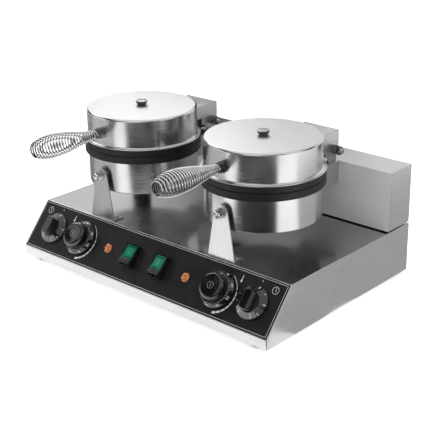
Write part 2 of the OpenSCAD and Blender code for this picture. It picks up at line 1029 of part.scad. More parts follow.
module hinge_nuts() {
    color(bright)
        for (side = [left, right], place = [0, hinge_nut_h])
            at_hinge(side)
                translate([0, 0, box_half + seat_gap + place])
                    hex_nut(bolt_head_r, hinge_nut_h - face_gap, bolt_r + run_gap);
}

// Coil handles

stud_in = 10;
stud_in_coil = 26;
stud_out = coil_start + stud_in_coil;
lock_nut_h = 6;

module handle_stud(side) {
    color(bright)
        at_handle(side)
            translate([0, 0, -stud_in])
                cylinder(r = stud_r, h = stud_in + stud_out, $fn = small_fn);
}

module handle_nuts(side) {
    color(bright)
        at_handle(side) {
            hex_nut(nut_r, nut_h, stud_r + run_gap);
            translate([0, 0, nut_h + seat_gap])
                hex_nut(jam_r, jam_h, stud_r + run_gap);
            translate([0, 0, -2 * sheet - lock_nut_h])
                hex_nut(nut_r, lock_nut_h, stud_r + run_gap);
        }
}

// Radius of the coil's centre line at a share of its length
function coil_radius(share) =
    let (fat = coil_fat_r - wire_d / 2, tip = coil_tip_r - wire_d / 2)
    share < coil_fat_share
        ? coil_neck_r + (fat - coil_neck_r) * pow(sin(90 * share / coil_fat_share), coil_power)
        : fat - (fat - tip) * pow((share - coil_fat_share) / (1 - coil_fat_share), 2);

// Share of the coil's length at a share of its turns: close at the neck, open at the tip
function coil_along(share) = coil_pitch_share * share + (1 - coil_pitch_share) * share * share;

// One point of the wire's centre line, at a radius, a count of rings and a height
function coil_point(r, count, z) = [r * cos(360 * count / coil_rings), r * sin(360 * count / coil_rings), z];

coil_steps = coil_turns * coil_rings;
curl_steps = tip_turn * coil_rings;
coil_rise = coil_len - 2 * wire_d;

// The centre line: a straight start on the nut, the turns, then a flat curl that winds in
coil_points = concat(
    [coil_point(coil_neck_r, 0, 0)],
    [for (i = [0 : coil_steps])
        let (share = coil_along(i / coil_steps))
        coil_point(coil_radius(share), i, wire_d + coil_rise * share)],
    [for (i = [1 : curl_steps])
        coil_point(coil_radius(1) - tip_step * i / curl_steps, coil_steps + i, wire_d + coil_rise)]
);
coil_last = len(coil_points) - 1;

// Direction of the wire at a point: straight off the nut at first, then between its neighbours
function coil_heading(i) =
    let (way = i == 0 ? [0, 0, 1] : coil_points[min(i + 1, coil_last)] - coil_points[i - 1])
    way / norm(way);

// One ring of the wire's skin, square to its heading
function coil_ring(i) =
    let (
        heading = coil_heading(i),
        spoke = [coil_points[i].x, coil_points[i].y, 0],
        level = spoke - heading * (spoke * heading),
        across = level / norm(level),
        beside = cross(heading, across)
    )
    [for (k = [0 : coil_sides - 1])
        let (turn = 360 * k / coil_sides)
        coil_points[i] + wire_d / 2 * (across * cos(turn) + beside * sin(turn))];

coil_skin = [for (i = [0 : coil_last]) each coil_ring(i)];
coil_faces = concat(
    [for (i = [0 : coil_last - 1], k = [0 : coil_sides - 1])
        let (a = i * coil_sides + k, b = i * coil_sides + (k + 1) % coil_sides)
        each [[a, a + coil_sides, b], [b, a + coil_sides, b + coil_sides]]],
    [for (k = [1 : coil_sides - 2]) [0, k, k + 1]],
    [for (k = [1 : coil_sides - 2])
        let (a = coil_last * coil_sides)
        [a, a + k + 1, a + k]]
);

// Least gap of the wire to itself, measured between points half a turn or more apart
coil_least_gap = min([
    for (i = [0 : coil_last - coil_rings / 2])
        for (j = [i + coil_rings / 2 : coil_last])
            norm(coil_points[j] - coil_points[i])
]) - wire_d;
echo(coil_least_gap = coil_least_gap);

module handle_coil(side) {
    color(bright)
        at_handle(side)
            translate([0, 0, coil_start])
                polyhedron(points = coil_skin, faces = coil_faces, convexity = 10);
}

// Controls

knob_z = panel_t + 2 * seat_gap;
spindle_r = 3;
spindle_in = 18;
bush_r = spindle_hole_r - face_gap;
timer_box = 42;
timer_box_h = 30;
thermostat_box = 36;
thermostat_box_h = 26;

// A control's body under the slope, with a bush through the panel and a bore for the spindle
module control_body(w, h) {
    difference() {
        union() {
            block([-w / 2, -w / 2, -sheet - h], [w / 2, w / 2, -sheet - face_gap]);
            translate([0, 0, -2 * sheet])
                cylinder(r = bush_r, h = 2 * sheet + panel_t, $fn = small_fn);
        }
        translate([0, 0, -spindle_in - seat_gap])
            cylinder(r = spindle_r + run_gap, h = spindle_in + seat_gap + panel_t + over, $fn = small_fn);
    }
}

module timer_bodies() {
    color(black)
        for (side = [left, right])
            on_panel(side * timer_x)
                control_body(timer_box, timer_box_h);
}

module thermostat_bodies() {
    color(black)
        for (side = [left, right])
            on_panel(side * thermostat_x)
                control_body(thermostat_box, thermostat_box_h);
}

module spindle() {
    translate([0, 0, -spindle_in])
        cylinder(r = spindle_r, h = spindle_in + knob_z + over, $fn = small_fn);
}

skirt_h = 10.5;
skirt_edge_h = 4;
skirt_lean = 10.2;
skirt_top_r = skirt_r - skirt_lean;
grip_foot_w = 23;
grip_top_w = 15;
grip_lean = 1;
grip_foot_half = skirt_top_r - seat_gap;
grip_top_half = grip_foot_half - grip_lean;
// The skirt's profile in radius and height, and the grip's outlines along and across the slope
skirt_outline = [
    [0, knob_z], [skirt_r, knob_z], [skirt_r, skirt_edge_h], [skirt_top_r, skirt_h], [0, skirt_h]
];
grip_side = [
    [-grip_foot_half, skirt_h - over], [grip_foot_half, skirt_h - over], [grip_top_half, grip_h],
    [-grip_top_half, grip_h]
];
grip_front = [
    [-grip_foot_w / 2, skirt_h - over], [grip_foot_w / 2, skirt_h - over], [grip_top_w / 2, grip_h],
    [-grip_top_w / 2, grip_h]
];

// A timer knob: a conical skirt with a tapered grip bar across it
module timer_knob(side) {
    color(cast)
        on_panel(side * timer_x) {
            rotate_extrude($fn = round_fn)
                polygon(skirt_outline);
            intersection() {
                side_plate(0, grip_foot_w, grip_side);
                translate([0, skirt_r, 0])
                    rotate([90, 0, 0])
                        linear_extrude(2 * skirt_r)
                            polygon(grip_front);
                cylinder(r = grip_foot_half, h = 2 * grip_h, $fn = round_fn);
            }
            spindle();
        }
}

dial_edge_h = 5;
dial_h = 10;
dial_lean = 4.3;
dome_edge_r = 6;
dome_lean = 0.8;
dome_foot_r = dome_r + dome_lean;
// The knob's profile in radius and height: bevelled dial, round grip and its bent edge
thermostat_outline = concat(
    [
        [0, knob_z], [dial_r, knob_z], [dial_r, dial_edge_h], [dial_r - dial_lean, dial_h],
        [dome_foot_r, dial_h]
    ],
    arc([dome_r - dome_edge_r, dome_h - dome_edge_r], dome_edge_r, 0, 90, 6),
    [[0, dome_h]]
);

module thermostat_knob(side) {
    color(cast)
        on_panel(side * thermostat_x) {
            rotate_extrude($fn = round_fn)
                polygon(thermostat_outline);
            spindle();
        }
}

lamp_body_l = 24;
lamp_nut_r = 8;
lamp_nut_h = 3;
lamp_rim_h = 1;
lamp_dome_h = 2.6;
lamp_outline = concat(
    [[0, panel_t]],
    [[lamp_r, panel_t]],
    [for (p = arc([0, 0], 1, 0, 90, 6)) [lamp_r * p.x, panel_t + lamp_rim_h + lamp_dome_h * p.y]]
);

module lamp_lenses() {
    color(amber)
        for (side = [left, right])
            on_panel(side * lamp_x)
                rotate_extrude($fn = round_fn)
                    polygon(lamp_outline);
}

module lamp_bodies() {
    color(black)
        for (side = [left, right])
            on_panel(side * lamp_x) {
                translate([0, 0, -lamp_body_l])
                    cylinder(r = lamp_body_r, h = lamp_body_l + panel_t, $fn = small_fn);
                translate([0, 0, -sheet - face_gap - lamp_nut_h])
                    cylinder(r = lamp_nut_r, h = lamp_nut_h, $fn = 6);
            }
}

// The rocker swings in a well, on a pin that lies across the switch
switch_rear_h = 22;
well_floor = 1.6;
rocker_pin_z = 8;
rocker_pin_r = 1.5;
rocker_pin_half = well_w / 2 + switch_wall / 2;
rocker_swing = 20;
rocker_half_w = well_w / 2 - seat_gap;
rocker_top = 5.2;
rocker_dip = 3.6;
rocker_end = sqrt(pow(well_l / 2 - seat_gap, 2) - pow(rocker_top, 2));
rocker_belly_y = 5;
rocker_belly = 4.6;
rocker_outline = [
    [-rocker_end, rocker_top], [0, rocker_dip], [rocker_end, rocker_top], [rocker_end, 0],
    [rocker_belly_y, -rocker_belly], [-rocker_belly_y, -rocker_belly], [-rocker_end, 0]
];

module switch_bodies() {
    color(black)
        for (side = [left, right])
            at_switch(side)
                difference() {
                    union() {
                        block([-switch_w / 2, -switch_l / 2, panel_t], [switch_w / 2, switch_l / 2, switch_h]);
                        block(
                            [-switch_rear_w / 2, -switch_rear_l / 2, -switch_rear_h],
                            [switch_rear_w / 2, switch_rear_l / 2, panel_t + over]
                        );
                    }
                    block([-well_w / 2, -well_l / 2, well_floor], [well_w / 2, well_l / 2, switch_h + over]);
                    translate([-rocker_pin_half - seat_gap, 0, rocker_pin_z])
                        rotate([0, 90, 0])
                            cylinder(
                                r = rocker_pin_r + run_gap, h = 2 * (rocker_pin_half + seat_gap), $fn = small_fn
                            );
                }
}

// At rest the rocker's lower end stands up; it swings over to raise its upper end
module switch_rocker(side) {
    color(green)
        at_switch(side)
            translate([0, 0, rocker_pin_z])
                rotate([-rocker_swing / 2, 0, 0]) {
                    side_plate(0, 2 * rocker_half_w, rocker_outline);
                    translate([-rocker_pin_half, 0, 0])
                        rotate([0, 90, 0])
                            cylinder(r = rocker_pin_r, h = 2 * rocker_pin_half, $fn = small_fn);
                }
}

// Electrical inlet

block_w = 48;
block_d = 20;
block_h = 18;
pole_r = 2.6;
pole_depth = 8;
pole_pitch = 12;
block_back = 60;
block_y = rear_y - block_back;

module terminal_block() {
    color(white)
        placed()
            translate([gland_x, block_y, foot_h + sheet])
                difference() {
                    block([-block_w / 2, -block_d / 2, 0], [block_w / 2, block_d / 2, block_h]);
                    for (pole = [-1.5 : 1.5])
                        translate([pole * pole_pitch, 0, block_h - pole_depth])
                            cylinder(r = pole_r, h = pole_depth + over, $fn = small_fn);
                }
}

gland_flange_r = 12;
gland_nut_r = 13;
gland_nut_h = 5;
gland_in = 9;

module cord_gland() {
    color(black)
        at_gland()
            difference() {
                union() {
                    cylinder(r = gland_flange_r, h = gland_lip, $fn = round_fn);
                    translate([0, 0, -gland_in])
                        cylinder(r = gland_r - face_gap, h = gland_in + over, $fn = small_fn);
                    translate([0, 0, -sheet - face_gap - gland_nut_h])
                        cylinder(r = gland_nut_r, h = gland_nut_h, $fn = 6);
                }
                sheet_hole(gland_bore_r, -gland_in, gland_in + gland_lip);
            }
}

base_shell();
bottom_plate();
rubber_feet();
foot_screws();
control_panel();
rear_cover();
cover_spacers();
cover_screws();
front_brackets();
bracket_screws();
bracket_bolts();
bracket_spacers();
bracket_washers();
acorn_nuts();
lower_housing(left);  // lower_housing_left
lower_housing(right);  // lower_housing_right
lower_plate(left);  // lower_plate_left
lower_plate(right);  // lower_plate_right
lower_heater(left);  // lower_heater_left
lower_heater(right);  // lower_heater_right
lower_insulation();
hinge_arm(left);  // hinge_arm_left
hinge_arm(right);  // hinge_arm_right
hinge_ears();
hinge_bolts();
hinge_nuts();
timer_bodies();
thermostat_bodies();
switch_bodies();
lamp_lenses();
lamp_bodies();
terminal_block();
cord_gland();
lid_shell(left);  // lid_shell_left
lid_shell(right);  // lid_shell_right
upper_plate(left);  // upper_plate_left
upper_plate(right);  // upper_plate_right
upper_heater(left);  // upper_heater_left
upper_heater(right);  // upper_heater_right
upper_insulation(left);  // upper_insulation_left
upper_insulation(right);  // upper_insulation_right
hinge_box(left);  // hinge_box_left
hinge_box(right);  // hinge_box_right
lid_screw(left);  // lid_screw_left
lid_screw(right);  // lid_screw_right
handle_stud(left);  // handle_stud_left
handle_stud(right);  // handle_stud_right
handle_nuts(left);  // handle_nuts_left
handle_nuts(right);  // handle_nuts_right
handle_coil(left);  // handle_coil_left
handle_coil(right);  // handle_coil_right
timer_knob(left);  // timer_knob_left
timer_knob(right);  // timer_knob_right
thermostat_knob(left);  // thermostat_knob_left
thermostat_knob(right);  // thermostat_knob_right
switch_rocker(left);  // switch_rocker_left
switch_rocker(right);  // switch_rocker_right
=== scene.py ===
"""Double round waffle maker, dressed for Blender 4.5 round its fixed model frame."""

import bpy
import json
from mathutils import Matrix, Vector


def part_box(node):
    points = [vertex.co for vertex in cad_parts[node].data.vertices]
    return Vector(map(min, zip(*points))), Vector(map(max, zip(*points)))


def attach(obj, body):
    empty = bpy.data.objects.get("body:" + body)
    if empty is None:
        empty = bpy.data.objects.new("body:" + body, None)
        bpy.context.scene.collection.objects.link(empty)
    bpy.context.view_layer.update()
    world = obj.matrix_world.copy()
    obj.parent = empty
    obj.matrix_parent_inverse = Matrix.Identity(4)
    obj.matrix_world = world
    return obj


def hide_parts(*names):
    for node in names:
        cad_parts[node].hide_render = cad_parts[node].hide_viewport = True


bl_info = {
    "name": "Double Round Waffle Maker",
    "version": (1, 0, 0),
    "blender": (4, 5, 0),
    "location": "3D View > Sidebar > Waffle Maker",
    "description": "Builds the waffle maker's visible pieces, finishes and studio",
    "category": "Add Mesh",
}

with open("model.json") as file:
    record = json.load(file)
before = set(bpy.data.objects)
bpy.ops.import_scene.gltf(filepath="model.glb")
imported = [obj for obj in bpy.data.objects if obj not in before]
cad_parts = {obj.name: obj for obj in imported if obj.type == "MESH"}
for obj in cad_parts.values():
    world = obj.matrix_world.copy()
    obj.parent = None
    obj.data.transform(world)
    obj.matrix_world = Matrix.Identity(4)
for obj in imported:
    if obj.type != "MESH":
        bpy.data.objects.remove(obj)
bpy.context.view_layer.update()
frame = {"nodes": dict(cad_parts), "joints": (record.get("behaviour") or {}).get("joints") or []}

import json
import math
from collections import namedtuple

import bmesh
import bpy
from mathutils import Matrix, Vector

# Shapes are written in millimetres, and the helpers turn them into Blender's metres
MM = 0.001
RIGHT, BACK, UP = Vector((1, 0, 0)), Vector((0, 1, 0)), Vector((0, 0, 1))
SIDES = ("left", "right")
NODES = frame["nodes"]
JOINTS = {joint["name"]: joint for joint in frame["joints"]}


# A point in millimetres, kept in full precision where Blender's vectors would round it
Point = namedtuple("Point", "x y z")


def in_mm(point):
    """A point of the frame in millimetres."""
    return Point(*(c / MM for c in point))


def box(node):
    """Lowest and highest corners of a node in millimetres."""
    low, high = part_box(node)
    return in_mm(low), in_mm(high)


def middle(node):
    """Middle of a node's box."""
    low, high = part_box(node)
    return in_mm((low + high) / 2)


def half_size(node):
    """Half of a node's box in each direction."""
    low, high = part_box(node)
    return in_mm((high - low) / 2)


def pivot(joint):
    """A joint's place in millimetres."""
    return Vector(JOINTS[joint]["pos_m"]) / MM


def shift(x=0.0, y=0.0, z=0.0):
    """Matrix that moves by millimetres."""
    return Matrix.Translation((x * MM, y * MM, z * MM))


def turned(degrees, axis):
    """Matrix that turns about an axis of its own."""
    return Matrix.Rotation(math.radians(degrees), 4, axis)


def axes_matrix(origin, right, up, out):
    """Matrix that puts local X, Y and Z along three directions, from an origin in millimetres."""
    return Matrix.Translation(origin * MM) @ Matrix((right, up, out)).transposed().to_4x4()


def side_view(x, y=0.0, z=0.0):
    """Matrix for outlines drawn from the side: local X runs back, Y up and Z to the right."""
    return axes_matrix(Vector((x, y, z)), BACK, UP, RIGHT)


def polar(radius, turn):
    """A point at a radius and an angle in radians."""
    return radius * math.cos(turn), radius * math.sin(turn)


# The sloped panel, with the knobs' joints a little above its back
JOINT_HEIGHT = 5
PANEL_THICK = 0.8
PANEL_OUT = -Vector(JOINTS["timer_left_turn"]["axis"]).normalized()
PANEL_UP = PANEL_OUT.cross(RIGHT)
PANEL_MID = pivot("timer_left_turn") - JOINT_HEIGHT * PANEL_OUT
PANEL_MID.x = 0
PANEL_HALF_X = box("control_panel")[1].x
PANEL_HALF_UP = half_size("control_panel").z / PANEL_UP.z


def panel_matrix(x=0.0, up=0.0, out=0.0):
    """Matrix that puts local X across the panel, Y up its slope and Z straight out of it."""
    return axes_matrix(PANEL_MID + x * RIGHT + up * PANEL_UP + out * PANEL_OUT, RIGHT, PANEL_UP, PANEL_OUT)


# Settings that a user would change

def colour(name, about, value):
    """A colour setting."""
    return bpy.props.StringProperty(name=name, description=about, default=value)


def measure(name, about, value, **limits):
    """A length setting, with its value and its limits in millimetres."""
    limits = {key: limit * MM for key, limit in limits.items()}
    return bpy.props.FloatProperty(name=name, description=about, default=value * MM, unit="LENGTH", **limits)


class WaffleFinish(bpy.types.PropertyGroup):
    """Colours and finishes of the waffle maker."""

    steel: colour("Steel", "Colour of the brushed stainless sheet", "#C6C6C6")
    deck: colour("Deck", "Colour of the mirror-rolled deck sheet", "#B6B6B6")
    lid: colour("Lid", "Colour of the polished lid wall", "#C8C8C8")
    iron: colour("Plates", "Colour of the seasoned cast plates", "#181818")
    enamel: colour("Panel", "Colour of the panel's enamel", "#161616")
    rocker: colour("Rocker", "Colour of the rocker caps", "#06503C")
    lamp: colour("Lamp", "Colour of the lamp lenses", "#B86C32")


class WaffleSizes(bpy.types.PropertyGroup):
    """Detail sizes that only the visible pieces have."""

    fold_radius: measure("Fold radius", "Outer radius of the folds in the base sheet", 1.2, min=0.3, max=2)
    sheet: measure("Sheet", "Thickness of the base sheet", 1.2)
    wire: measure("Wire", "Diameter of the handle's wire", 2.4)
    coil_length: measure("Coil length", "Length of the wound part of a handle", 130.6)
    coil_fat: measure("Coil radius", "Outer radius of the coil at its fattest", 19.5)
    coil_tip: measure("Tip radius", "Outer radius of the ring at the coil's tip", 12.4)
    turns: bpy.props.IntProperty(
        name="Turns", description="Turns in each wound handle", default=23, min=8, max=24)
    ticks: bpy.props.IntProperty(
        name="Ticks", description="Ticks on a thermostat dial", default=26, min=6, max=60)


# Mesh helpers

def show(name, data):
    """A new object in the scene for a mesh, curve, light or camera."""
    made = bpy.data.objects.new(name, data)
    bpy.context.scene.collection.objects.link(made)
    return made


def new_piece(name, verts, faces, finish=None, smooth_angle=None):
    """A mesh object from points in millimetres, shaded smooth below an angle in degrees."""
    mesh = bpy.data.meshes.new(name)
    mesh.from_pydata([tuple(MM * c for c in v) for v in verts], [], faces)
    if finish:
        mesh.materials.append(MATERIALS[finish])
    made = show(name, mesh)
    if smooth_angle is not None:
        shade(made, smooth_angle)
    return made


def modify(piece, kind, **settings):
    """Adds a modifier with its settings."""
    mod = piece.modifiers.new(kind.title(), kind)
    for key, value in settings.items():
        setattr(mod, key, value)
    return mod


def apply_modifiers(piece):
    """Turns the evaluated piece into its plain mesh and drops its modifiers."""
    graph = bpy.context.evaluated_depsgraph_get()
    graph.update()
    mesh = bpy.data.meshes.new_from_object(piece.evaluated_get(graph))
    piece.modifiers.clear()
    piece.data = mesh
    return piece


def shade(piece, angle):
    """Smooth shading with edges sharper than the angle kept sharp, and large faces kept flat."""
    piece.data.shade_smooth()
    piece.data.set_sharp_from_angle(angle=math.radians(angle))
    modify(piece, "WEIGHTED_NORMAL", mode="FACE_AREA", keep_sharp=True)
    return apply_modifiers(piece)


def clean_mesh(piece, merge=0.001):
    """Merges points that lie within a distance, unless it is 0, and turns all faces outwards."""
    work = bmesh.new()
    work.from_mesh(piece.data)
    if merge:
        bmesh.ops.remove_doubles(work, verts=work.verts, dist=merge * MM)
    bmesh.ops.recalc_face_normals(work, faces=work.faces)
    work.to_mesh(piece.data)
    work.free()
    return piece


def bevel(piece, width, segments=2, angle=35):
    """Rounds the edges of a closed mesh that are sharper than an angle in degrees."""
    modify(piece, "BEVEL", width=width * MM, segments=segments, limit_method="ANGLE",
           angle_limit=math.radians(angle))
    return apply_modifiers(piece)


def place(piece, matrix):
    """Moves a finished mesh by a matrix, if there is one."""
    if matrix:
        piece.data.transform(matrix)
    return piece


def arc(centre, radius, start, end, steps=8):
    """Points of a circular arc in a plane, with its angles in degrees."""
    turns = [math.radians(start + (end - start) * i / steps) for i in range(steps + 1)]
    return [(centre[0] + x, centre[1] + y) for x, y in (polar(radius, t) for t in turns)]


def lathe(name, outline, finish, matrix=None, steps=48, smooth_angle=30):
    """Turns an outline of (radius, height) round local Z; its ends on the axis close."""
    verts, faces, rings = [], [], []
    for radius, height in outline:
        count = 1 if radius < 1e-4 else steps
        rings.append(list(range(len(verts), len(verts) + count)))
        verts += [(*polar(radius, 2 * math.pi * i / steps), height) for i in range(count)]
    for low, high in zip(rings, rings[1:] + rings[:1]):
        for i in range(steps):
            j = (i + 1) % steps
            corners = [low[i % len(low)], low[j % len(low)], high[j % len(high)], high[i % len(high)]]
            corners = list(dict.fromkeys(corners))
            if len(corners) > 2:
                faces.append(corners)
    piece = clean_mesh(new_piece(name, verts, faces, finish))
    return place(shade(piece, smooth_angle), matrix)


def loft(name, rings, finish, loop=False):
    """A mesh through rings of equal count, capped at both ends or joined from last to first."""
    count, last = len(rings[0]), len(rings) - 1
    pairs = [(k, k + 1) for k in range(last)] + ([(last, 0)] if loop else [])
    faces = [[a * count + i, a * count + (i + 1) % count, b * count + (i + 1) % count, b * count + i]
             for a, b in pairs for i in range(count)]
    if not loop:
        faces += [list(range(count))[::-1], [last * count + i for i in range(count)]]
    return new_piece(name, [v for ring in rings for v in ring], faces, finish)


def extrude(name, outline, depth, finish, matrix=None, rounding=0.0):
    """A flat outline in local XY, drawn out along local Z by depth, rounded and put in place."""
    piece = clean_mesh(loft(name, [[(x, y, z) for x, y in outline] for z in (0, depth)], finish))
    if rounding:
        bevel(piece, rounding)
    return place(shade(piece, 35), matrix)


def rectangle(x, y):
    """Corners of a rectangle about the origin, from its half sizes."""
    return [(-x, -y), (x, -y), (x, y), (-x, y)]


def sweep(name, path, radius, finish, sides):
    """A round wire along a path of points, its section carried along without twisting."""
    points = [Vector(p) for p in path]
    rings, across = [], None
    for i, point in enumerate(points):
        heading = (points[min(i + 1, len(points) - 1)] - points[max(i - 1, 0)]).normalized()
        guess = across if across else (UP if abs(heading.z) < 0.9 else RIGHT)
        across = (guess - heading * guess.dot(heading)).normalized()
        beside = heading.cross(across)
        corners = [polar(radius, 2 * math.pi * k / sides) for k in range(sides)]
        rings.append([point + x * across + y * beside for x, y in corners])
    return shade(loft(name, rings, finish), 60)


def join(name, pieces):
    """Joins pieces into one object with their materials kept."""
    target = pieces[0]
    with bpy.context.temp_override(active_object=target, object=target, selected_editable_objects=pieces,
                                   selected_objects=pieces):
        bpy.ops.object.join()
    target.name = name
    target.data.name = name
    return target


def settle(piece, body, material_slot, *nodes):
    """Hides the nodes that a finished piece stands for, and lets it ride on its body; the material slot that it is
    given is not used.
    """
    if nodes:
        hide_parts(*nodes)
    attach(piece, body)


def paint_by_normal(piece, finishes, choose):
    """Gives each face one of several finishes, by a rule on its normal and its middle."""
    piece.data.materials.clear()
    for finish in finishes:
        piece.data.materials.append(MATERIALS[finish])
    for face in piece.data.polygons:
        face.material_index = choose(face.normal, face.center)


def node_copy(name, node, finish, radius):
    """A merged copy of a node's solid with rounded edges, to stand for the node."""
    mesh = NODES[node].data.copy()
    mesh.materials.clear()
    mesh.materials.append(MATERIALS[finish])
    piece = clean_mesh(show(name, mesh), 0.002)
    modify(piece, "DECIMATE", decimate_type="DISSOLVE", angle_limit=math.radians(0.5))
    apply_modifiers(piece)
    return shade(bevel(piece, radius, 3), 30)


def node_islands(node):
    """Boxes of a node's separate solids, as (low, high) corners in millimetres."""
    work = bmesh.new()
    work.from_mesh(NODES[node].data)
    bmesh.ops.remove_doubles(work, verts=work.verts, dist=0.002 * MM)
    seen, boxes = set(), []
    for vert in work.verts:
        if vert in seen:
            continue
        group, queue = [], [vert]
        seen.add(vert)
        while queue:
            here = queue.pop()
            group.append(here.co.copy())
            for edge in here.link_edges:
                other = edge.other_vert(here)
                if other not in seen:
                    seen.add(other)
                    queue.append(other)
        boxes.append((in_mm(map(min, zip(*group))), in_mm(map(max, zip(*group)))))
    work.free()
    return boxes


# Geometry Nodes that set copies of a template on points

def copies_tree():
    """Tree that puts a template on each point, turned by the point's own angle."""
    tree = bpy.data.node_groups.get("Set copies on points")
    if tree:
        return tree
    tree = bpy.data.node_groups.new("Set copies on points", "GeometryNodeTree")
    for name, kind in (("Geometry", "Geometry"), ("Template", "Object"), ("Material", "Material")):
        tree.interface.new_socket(name, in_out="INPUT", socket_type=f"NodeSocket{kind}")
    tree.interface.new_socket("Geometry", in_out="OUTPUT", socket_type="NodeSocketGeometry")
    given = add(tree, "NodeGroupInput").outputs
    template = add(tree, "GeometryNodeObjectInfo", {"Object": given["Template"]})
    angle = add(tree, "GeometryNodeInputNamedAttribute", {"Name": "turn"}, data_type="FLOAT")
    spin = add(tree, "ShaderNodeCombineXYZ", {"Z": angle.outputs["Attribute"]})
    placed = add(tree, "GeometryNodeInstanceOnPoints", {
        "Points": given["Geometry"], "Instance": template.outputs["Geometry"], "Rotation": spin.outputs[0]})
    real = add(tree, "GeometryNodeRealizeInstances", {"Geometry": placed.outputs[0]})
    painted = add(tree, "GeometryNodeSetMaterial", {
        "Geometry": real.outputs[0], "Material": given["Material"]})
    add(tree, "NodeGroupOutput", {"Geometry": painted.outputs[0]})
    return tree


def copies(name, template, places, finish, matrix=None, turns=None):
    """One mesh made of a template's copies at places, in local axes and then moved by matrix."""
    piece = new_piece(name, places, [])
    angles = piece.data.attributes.new("turn", "FLOAT", "POINT")
    angles.data.foreach_set("value", turns or [0.0] * len(places))
    mod = modify(piece, "NODES", node_group=copies_tree())
    sockets = {item.name: item.identifier for item in mod.node_group.interface.items_tree
               if item.in_out == "INPUT"}
    mod[sockets["Template"]] = template
    mod[sockets["Material"]] = MATERIALS[finish]
    apply_modifiers(piece)
    bpy.data.objects.remove(template)
    return shade(place(piece, matrix), 35)


# Node helpers

def feed(tree, node, inputs):
    """Sets a node's inputs, each to a value or to the output that feeds it."""
    for key, value in inputs.items():
        if isinstance(value, bpy.types.NodeSocket):
            tree.links.new(value, node.inputs[key])
        else:
            node.inputs[key].default_value = value


def add(tree, kind, inputs=None, **settings):
    """Adds a node with its settings and its inputs."""
    made = tree.nodes.new(kind)
    for key, value in settings.items():
        setattr(made, key, value)
    feed(tree, made, inputs or {})
    return made


def start_material(name):
    """A new material with its tree, its shader and its object coordinates."""
    material = bpy.data.materials.new(name)
    material.use_nodes = True
    tree = material.node_tree
    return material, tree, tree.nodes["Principled BSDF"], add(tree, "ShaderNodeTexCoord").outputs["Object"]


def linear(hex_colour):
    """An sRGB hex colour as linear RGBA."""
    parts = [int(hex_colour[i : i + 2], 16) / 255 for i in (1, 3, 5)]
    return tuple(c / 12.92 if c <= 0.04045 else ((c + 0.055) / 1.055) ** 2.4 for c in parts) + (1.0,)


def darker(hex_colour, share):
    """A hex colour with each channel scaled by share."""
    parts = [int(hex_colour[i : i + 2], 16) for i in (1, 3, 5)]
    return "#" + "".join(f"{max(0, min(255, round(p * share))):02X}" for p in parts)


# The part of a noise's range that holds nearly all its values
NOISE_SPAN = {"From Min": 0.3, "From Max": 0.7}


def shades(tree, value, first, second):
    """A noise value turned into a colour between two."""
    share = add(tree, "ShaderNodeMapRange", {"Value": value, **NOISE_SPAN})
    return add(tree, "ShaderNodeMix", {
        "A": linear(first), "B": linear(second), "Factor": share.outputs[0]}, data_type="RGBA").outputs["Result"]


# Finishes

def surface(name, hex_colour, tones, rough, clouds, grain, bump, **inputs):
    """A finish from two noises: clouds vary its tone and its gloss, and grain is its relief."""
    material, tree, shader, coords = start_material(name)
    cloud = add(tree, "ShaderNodeTexNoise", {"Vector": coords, **clouds}).outputs["Fac"]
    relief = add(tree, "ShaderNodeTexNoise", {"Vector": coords, **grain}).outputs["Fac"]
    gloss = add(tree, "ShaderNodeMapRange", {
        "Value": cloud, **NOISE_SPAN, "To Min": rough[0], "To Max": rough[1]})
    raised = add(tree, "ShaderNodeBump", {"Height": relief, "Strength": bump[0], "Distance": bump[1] * MM})
    feed(tree, shader, {
        "Base Color": shades(tree, cloud, *(darker(hex_colour, tone) for tone in tones)),
        "Roughness": gloss.outputs[0], "Normal": raised.outputs[0],
        **{key.replace("_", " "): value for key, value in inputs.items()}})
    return material


def cast_iron(name, hex_colour):
    """Sand-cast iron, seasoned black: fine grit, dull with a slightly oily sheen."""
    return surface(name, hex_colour, (0.75, 1.25), (0.42, 0.62), {"Scale": 1 / (22 * MM), "Detail": 3.0},
                   {"Scale": 1 / (1.1 * MM), "Detail": 5.0, "Roughness": 0.65}, (0.35, 0.15), Metallic=0.35)


def moulded(name, hex_colour, gloss, grain=0.8, bump=0.12, variation=0.12, coat=0.0, shine=0.5):
    """Moulded plastic or enamel: one colour, a fine spark-eroded grain and uneven gloss."""
    return surface(name, hex_colour, (1 - variation, 1 + variation), (gloss * 0.85, gloss * 1.15),
                   {"Scale": 1 / (18 * MM), "Detail": 2.0}, {"Scale": 1 / (grain * MM), "Detail": 3.0},
                   (bump, 0.06), Specular_IOR_Level=shine, Coat_Weight=coat, Coat_Roughness=0.08)


def bright_plate(name, hex_colour, gloss):
    """Nickel-plated or machined steel: mirror bright with faint drawing lines and dull spots."""
    spots = {"Scale": 1 / (3 * MM), "Detail": 4.0}
    return surface(name, hex_colour, (0.86, 1), (gloss * 0.7, gloss * 1.4), spots, spots, (0.04, 0.05),
                   Metallic=1.0)


def felt(name, hex_colour):
    """Mineral wool board: matted pale fibres."""
    fibres = {"Scale": 1 / (1.5 * MM), "Detail": 6.0, "Distortion": 1.5}
    return surface(name, hex_colour, (0.7, 1), (0.95, 0.95), fibres, fibres, (0.6, 0.5))


